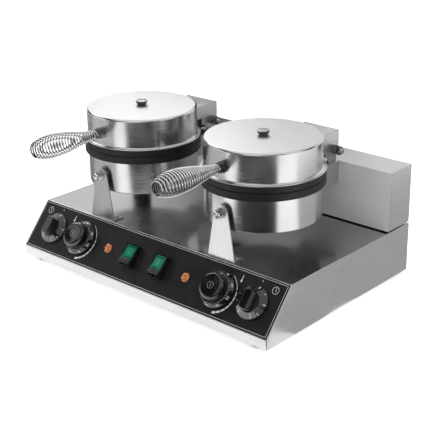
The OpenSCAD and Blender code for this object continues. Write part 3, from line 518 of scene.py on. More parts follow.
def brushed(name, hex_colour, gloss, grain, line=0.5, run=60, variation=0.08, bump=0.06, around=0.0,
            metallic=1.0):
    """Brushed stainless: fine lines along the grain, with soft cloudy tone from handling."""
    material, tree, shader, coords = start_material(name)
    scale = [1 / ((run if axis in grain else line) * MM) for axis in "XYZ"]
    mapped = add(tree, "ShaderNodeMapping", {"Vector": coords, "Scale": scale})
    lines = add(tree, "ShaderNodeTexNoise", {
        "Vector": mapped.outputs[0], "Scale": 1.0, "Detail": 4.0, "Roughness": 0.6}).outputs["Fac"]
    clouds = add(tree, "ShaderNodeTexNoise", {
        "Vector": coords, "Scale": 1 / (45 * MM), "Detail": 2.0, "Roughness": 0.5}).outputs["Fac"]
    fine = add(tree, "ShaderNodeMapRange", {
        "Value": lines, **NOISE_SPAN, "To Min": gloss * 0.85, "To Max": gloss * 1.15})
    soft = add(tree, "ShaderNodeMapRange", {"Value": clouds, **NOISE_SPAN, "To Min": -0.03, "To Max": 0.03})
    rough = add(tree, "ShaderNodeMath", {0: fine.outputs[0], 1: soft.outputs[0]})
    raised = add(tree, "ShaderNodeBump", {"Height": lines, "Strength": bump, "Distance": 0.05 * MM})
    feed(tree, shader, {
        "Base Color": shades(tree, lines, darker(hex_colour, 1 - variation), darker(hex_colour, 1 + variation / 2)),
        "Roughness": rough.outputs[0], "Normal": raised.outputs[0], "Metallic": metallic})
    if around:
        tangent = add(tree, "ShaderNodeTangent", direction_type="RADIAL", axis="Z")
        feed(tree, shader, {
            "Anisotropic": around, "Anisotropic Rotation": 0.25, "Tangent": tangent.outputs[0]})
    return material


def lit_lens(name, core, rim, glow):
    """Translucent acrylic with a light behind: pale where seen straight on, deep at its rim."""
    material, tree, shader, coords = start_material(name)
    flakes = add(tree, "ShaderNodeTexVoronoi", {"Vector": coords, "Scale": 1 / (3.2 * MM)}).outputs["Distance"]
    facing = add(tree, "ShaderNodeLayerWeight", {"Blend": 0.35})
    uneven = add(tree, "ShaderNodeMapRange", {"Value": flakes, **NOISE_SPAN, "To Min": -0.25, "To Max": 0.35})
    depth = add(tree, "ShaderNodeMath", {0: facing.outputs["Facing"], 1: uneven.outputs[0]})
    body = shades(tree, depth.outputs[0], core, rim)
    rough = add(tree, "ShaderNodeMapRange", {"Value": flakes, **NOISE_SPAN, "To Min": 0.08, "To Max": 0.2})
    feed(tree, shader, {
        "Base Color": body, "Emission Color": body, "Roughness": rough.outputs[0],
        "Emission Strength": glow, "Coat Weight": 0.8, "Coat Roughness": 0.04})
    return material


def sprung_wire(name, bright, dull):
    """Plated wire, bright outside a winding; its inner side, facing the coil's axis, is rougher and painted dark as
    painted shade between the turns.
    """
    material, tree, shader, coords = start_material(name)
    spots = add(tree, "ShaderNodeTexNoise", {"Vector": coords, "Scale": 1 / (3 * MM), "Detail": 4.0})
    inside = add(tree, "ShaderNodeAttribute", attribute_name="inside").outputs["Fac"]
    # Painted shade: the side of each turn that faces the coil's axis is mixed towards the dark colour
    tone = add(tree, "ShaderNodeMix", {
        "A": shades(tree, spots.outputs["Fac"], darker(bright, 0.9), bright), "B": linear(dull),
        "Factor": inside}, data_type="RGBA")
    rough = add(tree, "ShaderNodeMapRange", {"Value": inside, "To Min": 0.16, "To Max": 0.5})
    feed(tree, shader, {
        "Base Color": tone.outputs["Result"], "Roughness": rough.outputs[0], "Metallic": 1.0})
    return material


MATERIALS = {}


def make_materials(finish):
    """All finishes, each under a short name."""
    MATERIALS.update({
        # Stainless sheet with straight satin lines: soft, long reflections
        "satin_x": brushed("Satin stainless sheet, grain across", finish.steel, 0.30, "X"),
        "satin_y": brushed("Satin stainless sheet, grain front to back", finish.steel, 0.32, "Y"),
        "satin_z": brushed("Satin stainless sheet, grain upright", finish.steel, 0.30, "Z"),
        # Rolled bright sheet: the deck mirrors the heads with a slight blur
        "deck": brushed("Bright rolled stainless deck", finish.deck, 0.14, "X", variation=0.015, bump=0.0),
        # The cover's front and back get a paler, mostly matt sheet that scatters light as paint does: partly a matt
        # finish, and partly painted light that keeps the front pale
        "cover": brushed("Matt stainless cover", "#E6E6E6", 0.55, "X", line=0.35, run=25, variation=0.03,
                         bump=0.02, metallic=0.2),
        # Spun and polished stainless: lines run round the wall, so lights smear into upright bands
        "spun": brushed("Spun polished stainless", finish.lid, 0.23, "XY", variation=0.03, bump=0.012,
                        around=0.4),
        # The lids' discs are brushed straight across and duller than their walls
        "lid_top": brushed("Satin stainless lid disc", finish.lid, 0.42, "X", variation=0.04, bump=0.03),
        # The heaters' tubes are annealed and oxidised
        "sheath": brushed("Heater sheath steel", "#6F6B66", 0.5, "XY"),
        "iron": cast_iron("Seasoned cast iron", finish.iron),
        # Spring wire whose inner side is painted dark, as painted shade between the turns
        "wire": sprung_wire("Nickel-plated spring wire", "#EDEDED", "#2E2E2E"),
        # Fasteners, from mirror chrome to dark steel; the dark steel is painted shade on the lid screws' sides
        "chrome": bright_plate("Chromed nut", "#DCDCDC", 0.07),
        "screw": bright_plate("Zinc-plated steel", "#BCBCBB", 0.22),
        "nut": bright_plate("Machined steel nut", "#7E7E7D", 0.2),
        # Dark steel painted on the lid screws' sides, as painted shade under their wide rims
        "crown": bright_plate("Steel screw side, painted shade", "#5A5957", 0.3),
        # Panel, knobs and housings: blacks that differ in gloss
        "enamel": moulded("Black satin enamel", finish.enamel, 0.38, grain=0.5, bump=0.05, shine=0.25),
        "knob": moulded("Moulded black phenolic", "#070707", 0.2, coat=0.8, shine=0.4),
        "gloss": moulded("Moulded glossy nylon", "#131313", 0.2, coat=0.3),
        "black": moulded("Moulded black nylon", "#191919", 0.4),
        "rubber": moulded("Moulded black rubber", "#151515", 0.7, grain=1.2, bump=0.3),
        # Prints are flat and dull, and acrylics are smooth and glossy
        "ink": moulded("White screen ink", "#D9D9D6", 0.5, bump=0.02, variation=0.03),
        "grey_ink": moulded("Silver screen ink", "#7C7C7A", 0.45, bump=0.02, variation=0.05),
        "smoke": moulded("Smoked acrylic", "#2E3130", 0.15, coat=0.6),
        "rocker": moulded("Green translucent polycarbonate", finish.rocker, 0.16, coat=0.7),
        "window": lit_lens("Green lit window", "#0C7A5A", "#07503A", 0.07),
        "lamp": lit_lens("Amber acrylic lens", finish.lamp, "#2C1206", 0.03),
        # Hidden inside the heads and the base
        "wool": felt("Mineral wool board", "#D3C8A4"),
        "nylon": moulded("White nylon", "#DCDBD6", 0.5),
    })


# Nodes whose own solid is right, alone or one a side, with the finish and the edge radius of each
KEPT_NODES = {
    "bottom_plate": ("satin_x", 0.2),
    "cord_gland": ("black", 0.5),
    "terminal_block": ("nylon", 0.6),
    "timer_bodies": ("black", 0.6),
    "thermostat_bodies": ("black", 0.6),
    "lamp_bodies": ("black", 0.3),
    "lower_insulation": ("wool", 0.0),
    "cover_spacers": ("black", 0.3),
    "bracket_spacers": ("screw", 0.3),
    "hinge_ears": ("satin_z", 0.4),
    "lower_heater": ("sheath", 0.0),
    "upper_heater": ("sheath", 0.0),
    "upper_insulation": ("wool", 0.0),
    "handle_stud": ("screw", 0.5),
    "hinge_arm": ("satin_y", 0.4),
    "hinge_box": ("satin_y", 0.4),
}


class WAFFLE_OT_finishes(bpy.types.Operator):
    """Makes the finishes and gives the pieces that keep their own solid a finish and soft edges."""

    bl_idname = "waffle.finishes"
    bl_label = "Finishes and kept pieces"

    def execute(self, context):
        make_materials(context.scene.waffle_finish)
        for name, (finish, radius) in KEPT_NODES.items():
            for key in [name] if name in NODES else [f"{name}_{side}" for side in SIDES]:
                node = NODES[key]
                node.data.materials.clear()
                node.data.materials.append(MATERIALS[finish])
                if radius:
                    modify(node, "WELD", merge_threshold=0.001 * MM)
                    modify(node, "BEVEL", width=radius * MM, segments=2, limit_method="ANGLE",
                           angle_limit=math.radians(40))
        return {"FINISHED"}


# Base, cover and brackets

SHEET = 1.2
BASE_LOW, BASE_HIGH = box("base_shell")
DECK_Z = BASE_HIGH.z
# The slope runs on past the panel by its margin, from the deck's edge down to the lip
SLOPE_HALF = PANEL_HALF_UP + 1.3
EDGE_Y = PANEL_MID.y + SLOPE_HALF * PANEL_UP.y
LIP_Z = PANEL_MID.z - SLOPE_HALF * PANEL_UP.z


class WAFFLE_OT_base(bpy.types.Operator):
    """Builds the folded base shell, with rounded folds and an open underside."""

    bl_idname = "waffle.base"
    bl_label = "Folded base"

    def execute(self, context):
        front, rear, low = BASE_LOW.y, BASE_HIGH.y, BASE_LOW.z
        outline = [(front, low), (front, LIP_Z), (EDGE_Y, DECK_Z), (rear, DECK_Z), (rear, low)]
        count = len(outline)
        verts = [(x, y, z) for x in (BASE_LOW.x, BASE_HIGH.x) for y, z in outline]
        faces = [list(range(count)), list(range(count, 2 * count))[::-1]]
        faces += [[i, count + i, count + i + 1, i + 1] for i in range(count - 1)]
        shell = clean_mesh(new_piece("folded_base", verts, faces))
        if sum(face.normal.z for face in shell.data.polygons) < 0:
            shell.data.flip_normals()
        sizes = context.scene.waffle_sizes
        modify(shell, "BEVEL", width=sizes.fold_radius, segments=4, limit_method="ANGLE")
        modify(shell, "SOLIDIFY", thickness=sizes.sheet, offset=-1)
        shade(apply_modifiers(shell), 20)
        paint_by_normal(shell, ("satin_x", "satin_y", "deck"),
                        lambda normal, centre: 1 if abs(normal.x) > 0.7 else 2 if normal.z > 0.9 else 0)
        settle(shell, "base", "body_steel", "base_shell")
        return {"FINISHED"}


class WAFFLE_OT_cover(bpy.types.Operator):
    """Builds the rear cover with its folds, and the brackets that hold the heads."""

    bl_idname = "waffle.cover"
    bl_label = "Rear cover and brackets"

    def execute(self, context):
        cover = node_copy("folded_rear_cover", "rear_cover", "cover", 0.8)
        # The front and back faces get the paler matt sheet, partly painted light that keeps the front pale
        paint_by_normal(cover, ("cover", "satin_x", "satin_y"),
                        lambda normal, centre: 1 if abs(normal.z) > 0.7 else 2 if abs(normal.x) > 0.7 else 0)
        settle(cover, "base", "body_steel", "rear_cover")
        brackets = node_copy("front_bracket_plates", "front_brackets", "satin_z", 0.5)
        settle(brackets, "base", "body_steel", "front_brackets")
        return {"FINISHED"}


# Baking heads: heights from the frame, from the housing's bottom up to the lid's top

HEAD = {side: middle(f"lower_heater_{side}") for side in SIDES}
HOUSING_Z, HOUSING_RIM = (corner.z for corner in box("lower_housing_left"))
SEAM_LOW = box("lower_plate_left")[1].z
SEAM_HIGH = box("upper_plate_left")[0].z
LID_RIM, LID_TOP_Z = (corner.z for corner in box("lid_shell_left"))
LOW_CORE_Z, HIGH_CORE_Z = box("lower_plate_left")[0].z, box("upper_heater_left")[0].z
FLANGE_R = half_size("lid_shell_left").x
WALL_R = half_size("lower_housing_left").x + 0.1
PLATE_R = half_size("lower_plate_left").x
LID_EDGE_R = 4
FLANGE_ROLL_R = 2.2
HOUSING_EDGE_R = 2.5
CAVITY_R = 88
CAVITY_LOW, CAVITY_HIGH = 14, 11.5
POST_PITCH = 19
POST_HALF, POST_TOP_HALF = 5, 3.6
POST_LOW, POST_HIGH = 9, 7
RIB_HALF = 2
LUG_TOP_Z = 225
# Posts, ribs and the like stand a little into what carries them
SUNK = 0.2


def lid_outline():
    """Half section of a lid: flat disc, drawn edge, wall, then a rolled flange."""
    top, wall, edge, roll = LID_TOP_Z, WALL_R, LID_EDGE_R, FLANGE_ROLL_R
    return [
        (0, top), (wall - edge - 2, top), *arc((wall - edge, top - edge), edge, 90, 0, 8),
        *arc((wall + roll, LID_RIM + SHEET + roll), roll, 180, 270, 6),
        *arc((FLANGE_R - SHEET / 2, LID_RIM + SHEET / 2), SHEET / 2, 90, -90, 6),
        (wall - SHEET, LID_RIM), (wall - SHEET, top - edge), (wall - edge, top - SHEET), (0, top - SHEET)]


def housing_outline():
    """Half section of a lower housing: a cup with a rounded bottom edge."""
    wall, low, edge = WALL_R, HOUSING_Z, HOUSING_EDGE_R
    return [
        (0, low), (wall - edge, low), *arc((wall - edge, low + edge), edge, 270, 360, 6),
        (wall, HOUSING_RIM), (wall - SHEET, HOUSING_RIM), (wall - SHEET, low + edge + SHEET / 2),
        (wall - edge - SHEET / 2, low + SHEET), (0, low + SHEET)]


def plate_outline(seam, back, floor, core):
    """Half section of a cast plate, from the middle of its cavity floor round to its back."""
    up = 1 if seam > back else -1
    soft, draft, core_r = 1.2, 1.5, WALL_R - SHEET - 0.5
    return [
        (0, floor), (CAVITY_R - draft, floor), (CAVITY_R, seam - up * soft / 2),
        (CAVITY_R + soft / 2, seam), (PLATE_R - soft, seam),
        (PLATE_R - soft * 0.3, seam - up * soft * 0.3), (PLATE_R, seam - up * soft),
        (PLATE_R, back + up * soft), (PLATE_R - soft * 0.3, back + up * soft * 0.3),
        (PLATE_R - soft, back), (core_r, back), (core_r, core), (0, core)]


class WAFFLE_OT_heads(bpy.types.Operator):
    """Builds the housings, the lids and the four cast plates with their posts."""

    bl_idname = "waffle.heads"
    bl_label = "Baking heads"

    def execute(self, context):
        for side in SIDES:
            middle_line = shift(HEAD[side].x, HEAD[side].y)
            housing = lathe(f"housing_{side}", housing_outline(), "spun", middle_line, 160, 32)
            settle(housing, "base", "body_steel", f"lower_housing_{side}")
            lid = lathe(f"lid_{side}_shell", lid_outline(), "spun", middle_line, 160, 32)
            disc_z = (LID_TOP_Z - 2) * MM
            paint_by_normal(lid, ("spun", "lid_top"),
                            lambda normal, centre: 1 if normal.z > 0.92 and centre.z > disc_z else 0)
            settle(lid, f"lid_{side}", "lid_steel", f"lid_shell_{side}")
            self.plate("lower", side, "base", SEAM_LOW, HOUSING_RIM + 0.1, SEAM_LOW - CAVITY_LOW,
                       LOW_CORE_Z, POST_LOW)
            self.plate("upper", side, f"lid_{side}", SEAM_HIGH, LID_RIM, SEAM_HIGH + CAVITY_HIGH,
                       HIGH_CORE_Z, -POST_HIGH)
        return {"FINISHED"}

    def plate(self, level, side, body, seam, back, floor, core, height):
        """One cast plate with its posts and its cross, and the upper one with its lug."""
        centre = HEAD[side]
        root = floor - math.copysign(SUNK, height)
        plate = lathe("plate", plate_outline(seam, back, floor, core), "iron", shift(centre.x, centre.y), 160, 32)
        posts = copies("posts", self.post(height), self.post_places(centre, root), "iron")
        cross = [extrude("rib", rectangle(*half), abs(height), "iron",
                         shift(centre.x, centre.y, min(root, root + height)), rounding=0.7)
                 for half in ((CAVITY_R - 0.5, RIB_HALF), (RIB_HALF, CAVITY_R - 0.5))]
        lug = [self.lug(side)] if level == "upper" else []
        settle(join(f"cast_{level}_plate_{side}", [plate, posts] + lug + cross), body, "cast_iron",
               f"{level}_plate_{side}")

    def post(self, height):
        """One tapered post with softened top edges, standing at the origin."""
        rings = [[(x, y, z) for x, y in rectangle(half, half)]
                 for half, z in ((POST_HALF, 0), (POST_TOP_HALF, height))]
        return bevel(clean_mesh(loft("post_template", rings, None)), 0.6)

    def post_places(self, centre, z):
        """Places of the posts whose outer corner stays inside the cavity."""
        count = math.floor(CAVITY_R / POST_PITCH)
        steps = [(i + 0.5) * POST_PITCH for i in range(-count, count)]
        return [(centre.x + x, centre.y + y, z) for x in steps for y in steps
                if math.hypot(abs(x) + POST_HALF, abs(y) + POST_HALF) < CAVITY_R - POST_HALF]

    def lug(self, side):
        """The cast lug that reaches back from the upper plate into the hinge box."""
        half = half_size(f"hinge_box_{side}").x - 1.8
        back, rim = box(f"upper_plate_{side}")[1].y, HEAD[side].y + PLATE_R
        step_y, step_z, front, clear = back - 8, SEAM_HIGH + 5, rim - 8, rim + 1
        outline = [(front, SEAM_HIGH), (back, SEAM_HIGH), (back, step_z), (step_y, step_z),
                   (step_y, LUG_TOP_Z), (clear, LUG_TOP_Z), (clear, LID_RIM), (front, LID_RIM)]
        return extrude("lug", outline, 2 * half, "iron", side_view(HEAD[side].x - half), rounding=0.8)


# Fasteners

BOLT_R = 4
HEX_R = 7.5
HEX_HEAD_H = 5.3
LOCK_NUT_H = 6.35


def nut(radius, height, finish, matrix, bore=0.0):
    """A hexagon nut or bolt head whose corners are turned off by a cone, put in place by matrix."""
    flat = radius * math.cos(math.pi / 6)
    circle, drop, steps = flat * 0.98, 0.58 * (radius - flat), 48
    turns = [2 * math.pi * i / steps for i in range(steps)]
    edges = [flat / math.cos(t % (math.pi / 3) - math.pi / 6) for t in turns]

    def ring(r, z):
        return [(*polar(r, t), z) for t in turns]

    def hexagon(z, lean):
        return [(*polar(r, t), z + lean * drop * (r - circle) / (radius - flat)) for r, t in zip(edges, turns)]

    rings = [ring(circle, 0), hexagon(0, 1), hexagon(height, -1), ring(circle, height)]
    if bore:
        rim, deep = 1.12 * bore, 0.12 * bore
        rings += [ring(rim, height), ring(bore, height - deep), ring(bore, deep), ring(rim, 0)]
    return place(shade(clean_mesh(loft("nut", rings, finish, loop=bool(bore))), 28), matrix)


def thread(radius, start, end, matrix, pitch=1.25):
    """A threaded end: close ridges with a rounded tip, put in place by matrix."""
    outline = [(0, start), (radius, start)]
    z = start
    while z < end - 2 * pitch:
        outline += [(radius, z + 0.25 * pitch), (radius - 0.45 * pitch, z + 0.75 * pitch),
                    (radius, z + 1.25 * pitch)]
        z += pitch
    outline += [(radius, end - pitch), (radius - 0.6 * pitch, end), (0, end)]
    return lathe("thread", outline, "screw", matrix, 40, 25)


def screw_template(head_r, head_h, shank_r, length):
    """A pan-head screw with a cross recess, head up, seated on z = 0."""
    floor = head_h * 0.55
    outline = [(0, -length), (shank_r * 0.6, -length), (shank_r, -length + shank_r * 0.6), (shank_r, 0),
               (head_r, 0), (head_r, head_h * 0.25),
               *arc((head_r * 0.45, head_h * 0.25), head_h * 0.72, 35, 90, 5),
               (head_r * 0.16, head_h * 0.97), (head_r * 0.12, floor), (0, floor)]
    body = lathe("screw_template", outline, "screw", None, 28, 32)
    bars = [extrude("recess", rectangle(head_r * 0.52, head_r * 0.1), head_h, "nut",
                    shift(z=floor) @ turned(turn, "Z")) for turn in (0, 90)]
    for bar in bars:
        modify(body, "BOOLEAN", object=bar, operation="DIFFERENCE", solver="EXACT")
    apply_modifiers(body)
    for bar in bars:
        bpy.data.objects.remove(bar)
    return body


class WAFFLE_OT_screws(bpy.types.Operator):
    """Sets the screws and the rubber feet on their places with Geometry Nodes."""

    bl_idname = "waffle.screws"
    bl_label = "Screws and feet"

    def execute(self, context):
        pan = (4, 2.4, 1.9)
        foot_low, foot_high = box("foot_screws")
        seat = foot_low.z + 2.6
        self.set_out("bracket_pan_screws", "bracket_screws", screw_template(*pan, 5),
                     box("front_brackets")[0].z + 2)
        self.set_out("cover_pan_screws", "cover_screws", screw_template(*pan, 6.5), DECK_Z - SHEET, -1)
        self.set_out("foot_pan_screws", "foot_screws", screw_template(4.3, 2.6, 2.4, foot_high.z - seat - 0.1),
                     seat, -1)
        self.set_out("moulded_feet", "rubber_feet", self.foot(), 0, 1, "rubber", "foot_rubber")
        return {"FINISHED"}

    def set_out(self, name, node, template, z, up=1, finish="screw", slot="fastener_steel"):
        """Copies of a template on the places of a node's solids, upright or, where up is -1, head down."""
        places = [((low.x + high.x) / 2, up * (low.y + high.y) / 2, up * z) for low, high in node_islands(node)]
        piece = copies(name, template, places, finish, turned(180, "X") if up < 0 else None)
        settle(piece, "base", slot, node)

    def foot(self):
        """One moulded foot with a rounded tread edge and a screw recess."""
        high = box("rubber_feet")[1].z
        tread, wide, recess, soft, recess_top = 12.3, 14, 5.5, 1.2, 4.4
        outline = [(recess, 0.5), (recess + 0.5, 0), (tread - soft, 0),
                   *arc((tread - soft, soft), soft, 270, 350, 5), (wide, high - 0.6), (wide - 0.5, high),
                   (2.6, high), (2.6, recess_top), (recess, recess_top)]
        return lathe("foot_template", outline, "rubber", smooth_angle=32)


class WAFFLE_OT_bolts(bpy.types.Operator):
    """Builds the bracket bolts with their domed nuts, and the lids' hinge bolts and nuts."""

    bl_idname = "waffle.bolts"
    bl_label = "Bolts and nuts"

    def execute(self, context):
        bolts, washers, domed, hinges, nuts = [], [], [], [], []
        reach = {node: (-box(node)[1].y, -box(node)[0].y)
                 for node in ("bracket_bolts", "bracket_washers", "acorn_nuts")}
        head, tip = reach["bracket_bolts"]
        dome_back, dome_tip = reach["acorn_nuts"]
        for side in SIDES:
            # Local Z runs out to the front along a bracket bolt, and to the right along a hinge bolt
            out = axes_matrix(Vector((HEAD[side].x, 0, middle("bracket_washers").z)), RIGHT, UP, -BACK)
            shank = [(0, 0), (BOLT_R, 0), (BOLT_R, tip - head), (0, tip - head)]
            bolts += [nut(HEX_R, HEX_HEAD_H, "screw", out @ shift(z=head)),
                      lathe("shank", shank, "screw", out @ shift(z=head))]
            washers.append(self.washer(out @ shift(z=reach["bracket_washers"][0])))
            domed += self.domed_nut(out @ shift(z=dome_back), dome_tip - dome_back)
            hinge = pivot(f"lid_{side}_hinge")
            low, high = sorted(node_islands("hinge_bolts"), key=lambda b: b[0].x)[SIDES.index(side)]
            along = side_view(0, hinge.y, hinge.z)
            starts = sorted(b[0].x for b in node_islands("hinge_nuts") if abs(b[0].x - high.x) < 40)
            hinges += [nut(HEX_R, HEX_HEAD_H, "screw", along @ shift(z=low.x)),
                       thread(BOLT_R, low.x + HEX_HEAD_H, high.x, along)]
            nuts += [nut(HEX_R, LOCK_NUT_H, "nut", along @ shift(z=x) @ turned(9 * i, "Z"), BOLT_R)
                     for i, x in enumerate(starts)]
        for name, node, pieces in (
                ("housing_bolts", "bracket_bolts", bolts), ("plain_washers", "bracket_washers", washers),
                ("domed_nuts", "acorn_nuts", domed), ("hinge_pivot_bolts", "hinge_bolts", hinges),
                ("hinge_lock_nuts", "hinge_nuts", nuts)):
            settle(join(name, pieces), "base", "fastener_steel", node)
        return {"FINISHED"}

    def washer(self, matrix):
        """A stamped washer with one rolled edge."""
        outer, inner, thick, soft = 8.6, 4.1, 1.6, 0.5
        outline = [(inner, 0), (outer - 0.1, 0), (outer, 0.2), (outer, thick - soft),
                   *arc((outer - soft, thick - soft), soft, 0, 90, 4), (inner + 0.2, thick),
                   (inner, thick - 0.2)]
        return lathe("washer", outline, "screw", matrix)

    def domed_nut(self, matrix, reach):
        """A domed nut: a chamfered hexagon and a ball end, drawn out to its reach."""
        hex_h, dome_r = 7, 6.2
        dome = [(r, z) for r, z in arc((0, hex_h), dome_r, 88, 0, 12) if z <= reach]
        dome = [(r, hex_h + (z - hex_h) * (reach - hex_h) / dome_r) for r, z in dome]
        return [nut(HEX_R, hex_h, "chrome", matrix, 4.05),
                lathe("dome", [(0, reach), *dome, (0, hex_h)], "chrome", matrix)]


class WAFFLE_OT_lid_screws(bpy.types.Operator):
    """Builds the round screw in the middle of each lid."""

    bl_idname = "waffle.lid_screws"
    bl_label = "Lid screws"

    def execute(self, context):
        foot, wide, crown, shank, seat = 7.4, 10.3, 9.4, 3.9, LID_TOP_Z + 0.05
        for side in SIDES:
            low, top = (corner.z for corner in box(f"lid_screw_{side}"))
            centre = middle(f"lid_screw_{side}")
            head = [(0, low), (shank - 0.3, low), (shank, low + 0.4), (shank, seat), (foot - 0.3, seat),
                    (foot, seat + 0.3), (wide - 0.3, top - 2.1), (wide, top - 1.6), (crown + 0.2, top - 0.3),
                    (crown - 0.5, top), (crown - 1.6, top), (crown - 2.2, top - 0.8), (0, top - 0.8)]
            piece = lathe(f"lid_{side}_round_screw", head, "screw", shift(centre.x, centre.y), 64, 32)
            # Faces that don't face up get the dark steel: painted shade on the side under the screw's wide rim
            paint_by_normal(piece, ("screw", "crown"), lambda normal, centre: 0 if normal.z > 0.5 else 1)
            settle(piece, f"lid_{side}", "fastener_steel", f"lid_screw_{side}")
        return {"FINISHED"}


# Wound handles

HANDLE_TILT = 2
HANDLE_ROOT_Z = 242
NUT_R, NUT_H = 9.4, 8
JAM_R, JAM_H = 8.6, 5
LOCK_H, LOCK_START = 6, -8.4
STUD_R = 5
SEAT_GAP = 0.3
COIL_STEPS = 40
COIL_FAT_SHARE = 0.725
COIL_PITCH_SHARE = 0.98
CURL_SHARE = 0.75


def coil_path(wire, length, fat, tip, turns):
    """Centre line of the wire: off the nut, the turns, and a flat curl that winds in at the tip."""
    neck, fat, tip, rise = STUD_R + wire / 2 + 0.2, fat - wire / 2, tip - wire / 2, length - 2 * wire

    def radius(share):
        """A narrow neck, a fat belly and a drawn-in tip."""
        if share < COIL_FAT_SHARE:
            return neck + (fat - neck) * math.sin(math.pi / 2 * share / COIL_FAT_SHARE) ** 1.5
        return fat - (fat - tip) * ((share - COIL_FAT_SHARE) / (1 - COIL_FAT_SHARE)) ** 2

    path = [(radius(0), 0, 0), (radius(0), 0, wire * 0.5)]
    for i in range(turns * COIL_STEPS + 1):
        done = i / (turns * COIL_STEPS)
        share = COIL_PITCH_SHARE * done + (1 - COIL_PITCH_SHARE) * done * done
        path.append((*polar(radius(share), 2 * math.pi * i / COIL_STEPS), wire + rise * share))
    curl = round(CURL_SHARE * COIL_STEPS)
    for i in range(1, curl + 1):
        path.append((*polar(radius(1) - 1.25 * wire * i / curl, 2 * math.pi * i / COIL_STEPS), wire + rise))
    return path


class WAFFLE_OT_handles(bpy.types.Operator):
    """Builds the wound wire handles with their nuts."""

    bl_idname = "waffle.handles"
    bl_label = "Wound handles"

    def execute(self, context):
        sizes = context.scene.waffle_sizes
        wire, *shape = [value / MM for value in (sizes.wire, sizes.coil_length, sizes.coil_fat, sizes.coil_tip)]
        for side in SIDES:
            # Local Z runs out along the handle from the lid's wall
            root = shift(HEAD[side].x, HEAD[side].y - WALL_R - SEAT_GAP, HANDLE_ROOT_Z)
            out = root @ turned(90 - HANDLE_TILT, "X")
            coil = sweep(f"wound_handle_{side}", coil_path(wire, *shape, sizes.turns), wire / 2, "wire", 12)
            self.mark_inside(coil)
            place(coil, out @ shift(z=NUT_H + SEAT_GAP + JAM_H))
            settle(coil, f"lid_{side}", "chrome_wire", f"handle_coil_{side}")
            nuts = [nut(radius, height, "nut", out @ shift(z=start), STUD_R + 0.02) for radius, height, start in (
                (NUT_R, NUT_H, 0), (JAM_R, JAM_H, NUT_H + SEAT_GAP), (NUT_R, LOCK_H, LOCK_START))]
            settle(join(f"handle_{side}_nuts", nuts), f"lid_{side}", "fastener_steel", f"handle_nuts_{side}")
        return {"FINISHED"}

    def mark_inside(self, coil):
        """Stores how far each point of the wire faces the coil's own axis, from 0 to 1, for the wire's painted
        shade between the turns.
        """
        inside = coil.data.attributes.new("inside", "FLOAT", "POINT")
        for i, vert in enumerate(coil.data.vertices):
            inward = -vert.normal.dot(Vector((vert.co.x, vert.co.y, 0)).normalized())
            inside.data[i].value = min(1, max(0, (inward + 0.55) / 0.75))


# Control panel and its print

PRINT_LIFT = PANEL_THICK + 0.03
PRINT_THICK = 0.04


def ribbon(points, width, closed=False):
    """Strips of one width along a path in a plane, as quads."""
    quads = []
    for (x0, y0), (x1, y1) in zip(points, points[1:] + (points[:1] if closed else [])):
        reach = 2 * math.hypot(x1 - x0, y1 - y0) / width
        nx, ny = (y0 - y1) / reach, (x1 - x0) / reach
        quads.append([(x0 + nx, y0 + ny), (x0 - nx, y0 - ny), (x1 - nx, y1 - ny), (x1 + nx, y1 + ny)])
    return quads


def band(radius, widths, start, end, steps=40):
    """Quads of an arc whose width changes evenly from widths[0] to widths[1]; angles in degrees."""
    def corner(step, side):
        share = step / steps
        width = widths[0] + (widths[1] - widths[0]) * share
        return polar(radius + side * width / 2, math.radians(start + (end - start) * share))

    return [[corner(i, 1), corner(i, -1), corner(i + 1, -1), corner(i + 1, 1)] for i in range(steps)]


def shifted(shapes, x, y):
    """Polygons moved in their plane."""
    return [[(px + x, py + y) for px, py in shape] for shape in shapes]


def disc(x, y, radius, steps=24):
    """A round polygon."""
    return shifted([[polar(radius, 2 * math.pi * i / steps) for i in range(steps)]], x, y)


def print_piece(name, shapes, finish, matrix=None, thick=PRINT_THICK):
    """A thin layer of ink made of polygons in local XY."""
    verts, faces = [], []
    for shape in shapes:
        base, count = len(verts), len(shape)
        verts += [(x, y, z) for z in (0, thick) for x, y in shape]
        ring = [base + i for i in range(count)]
        faces += [ring[::-1], [count + i for i in ring]]
        faces += [[a, b, count + b, count + a] for a, b in zip(ring, ring[1:] + ring[:1])]
    return place(clean_mesh(new_piece(name, verts, faces, finish), merge=0), matrix)


def numeral(text, size):
    """A printed numeral as a thin mesh in local XY, with its top towards the rim of a dial."""
    curve = bpy.data.curves.new("numeral", "FONT")
    curve.body = text
    curve.size = size * MM
    curve.align_x = "CENTER"
    curve.align_y = "CENTER"
    curve.extrude = PRINT_THICK * MM
    holder = show("numeral", curve)
    mesh = bpy.data.meshes.new_from_object(holder.evaluated_get(bpy.context.evaluated_depsgraph_get()))
    bpy.data.objects.remove(holder)
    mesh.materials.clear()
    mesh.materials.append(MATERIALS["ink"])
    return show("numeral", mesh)


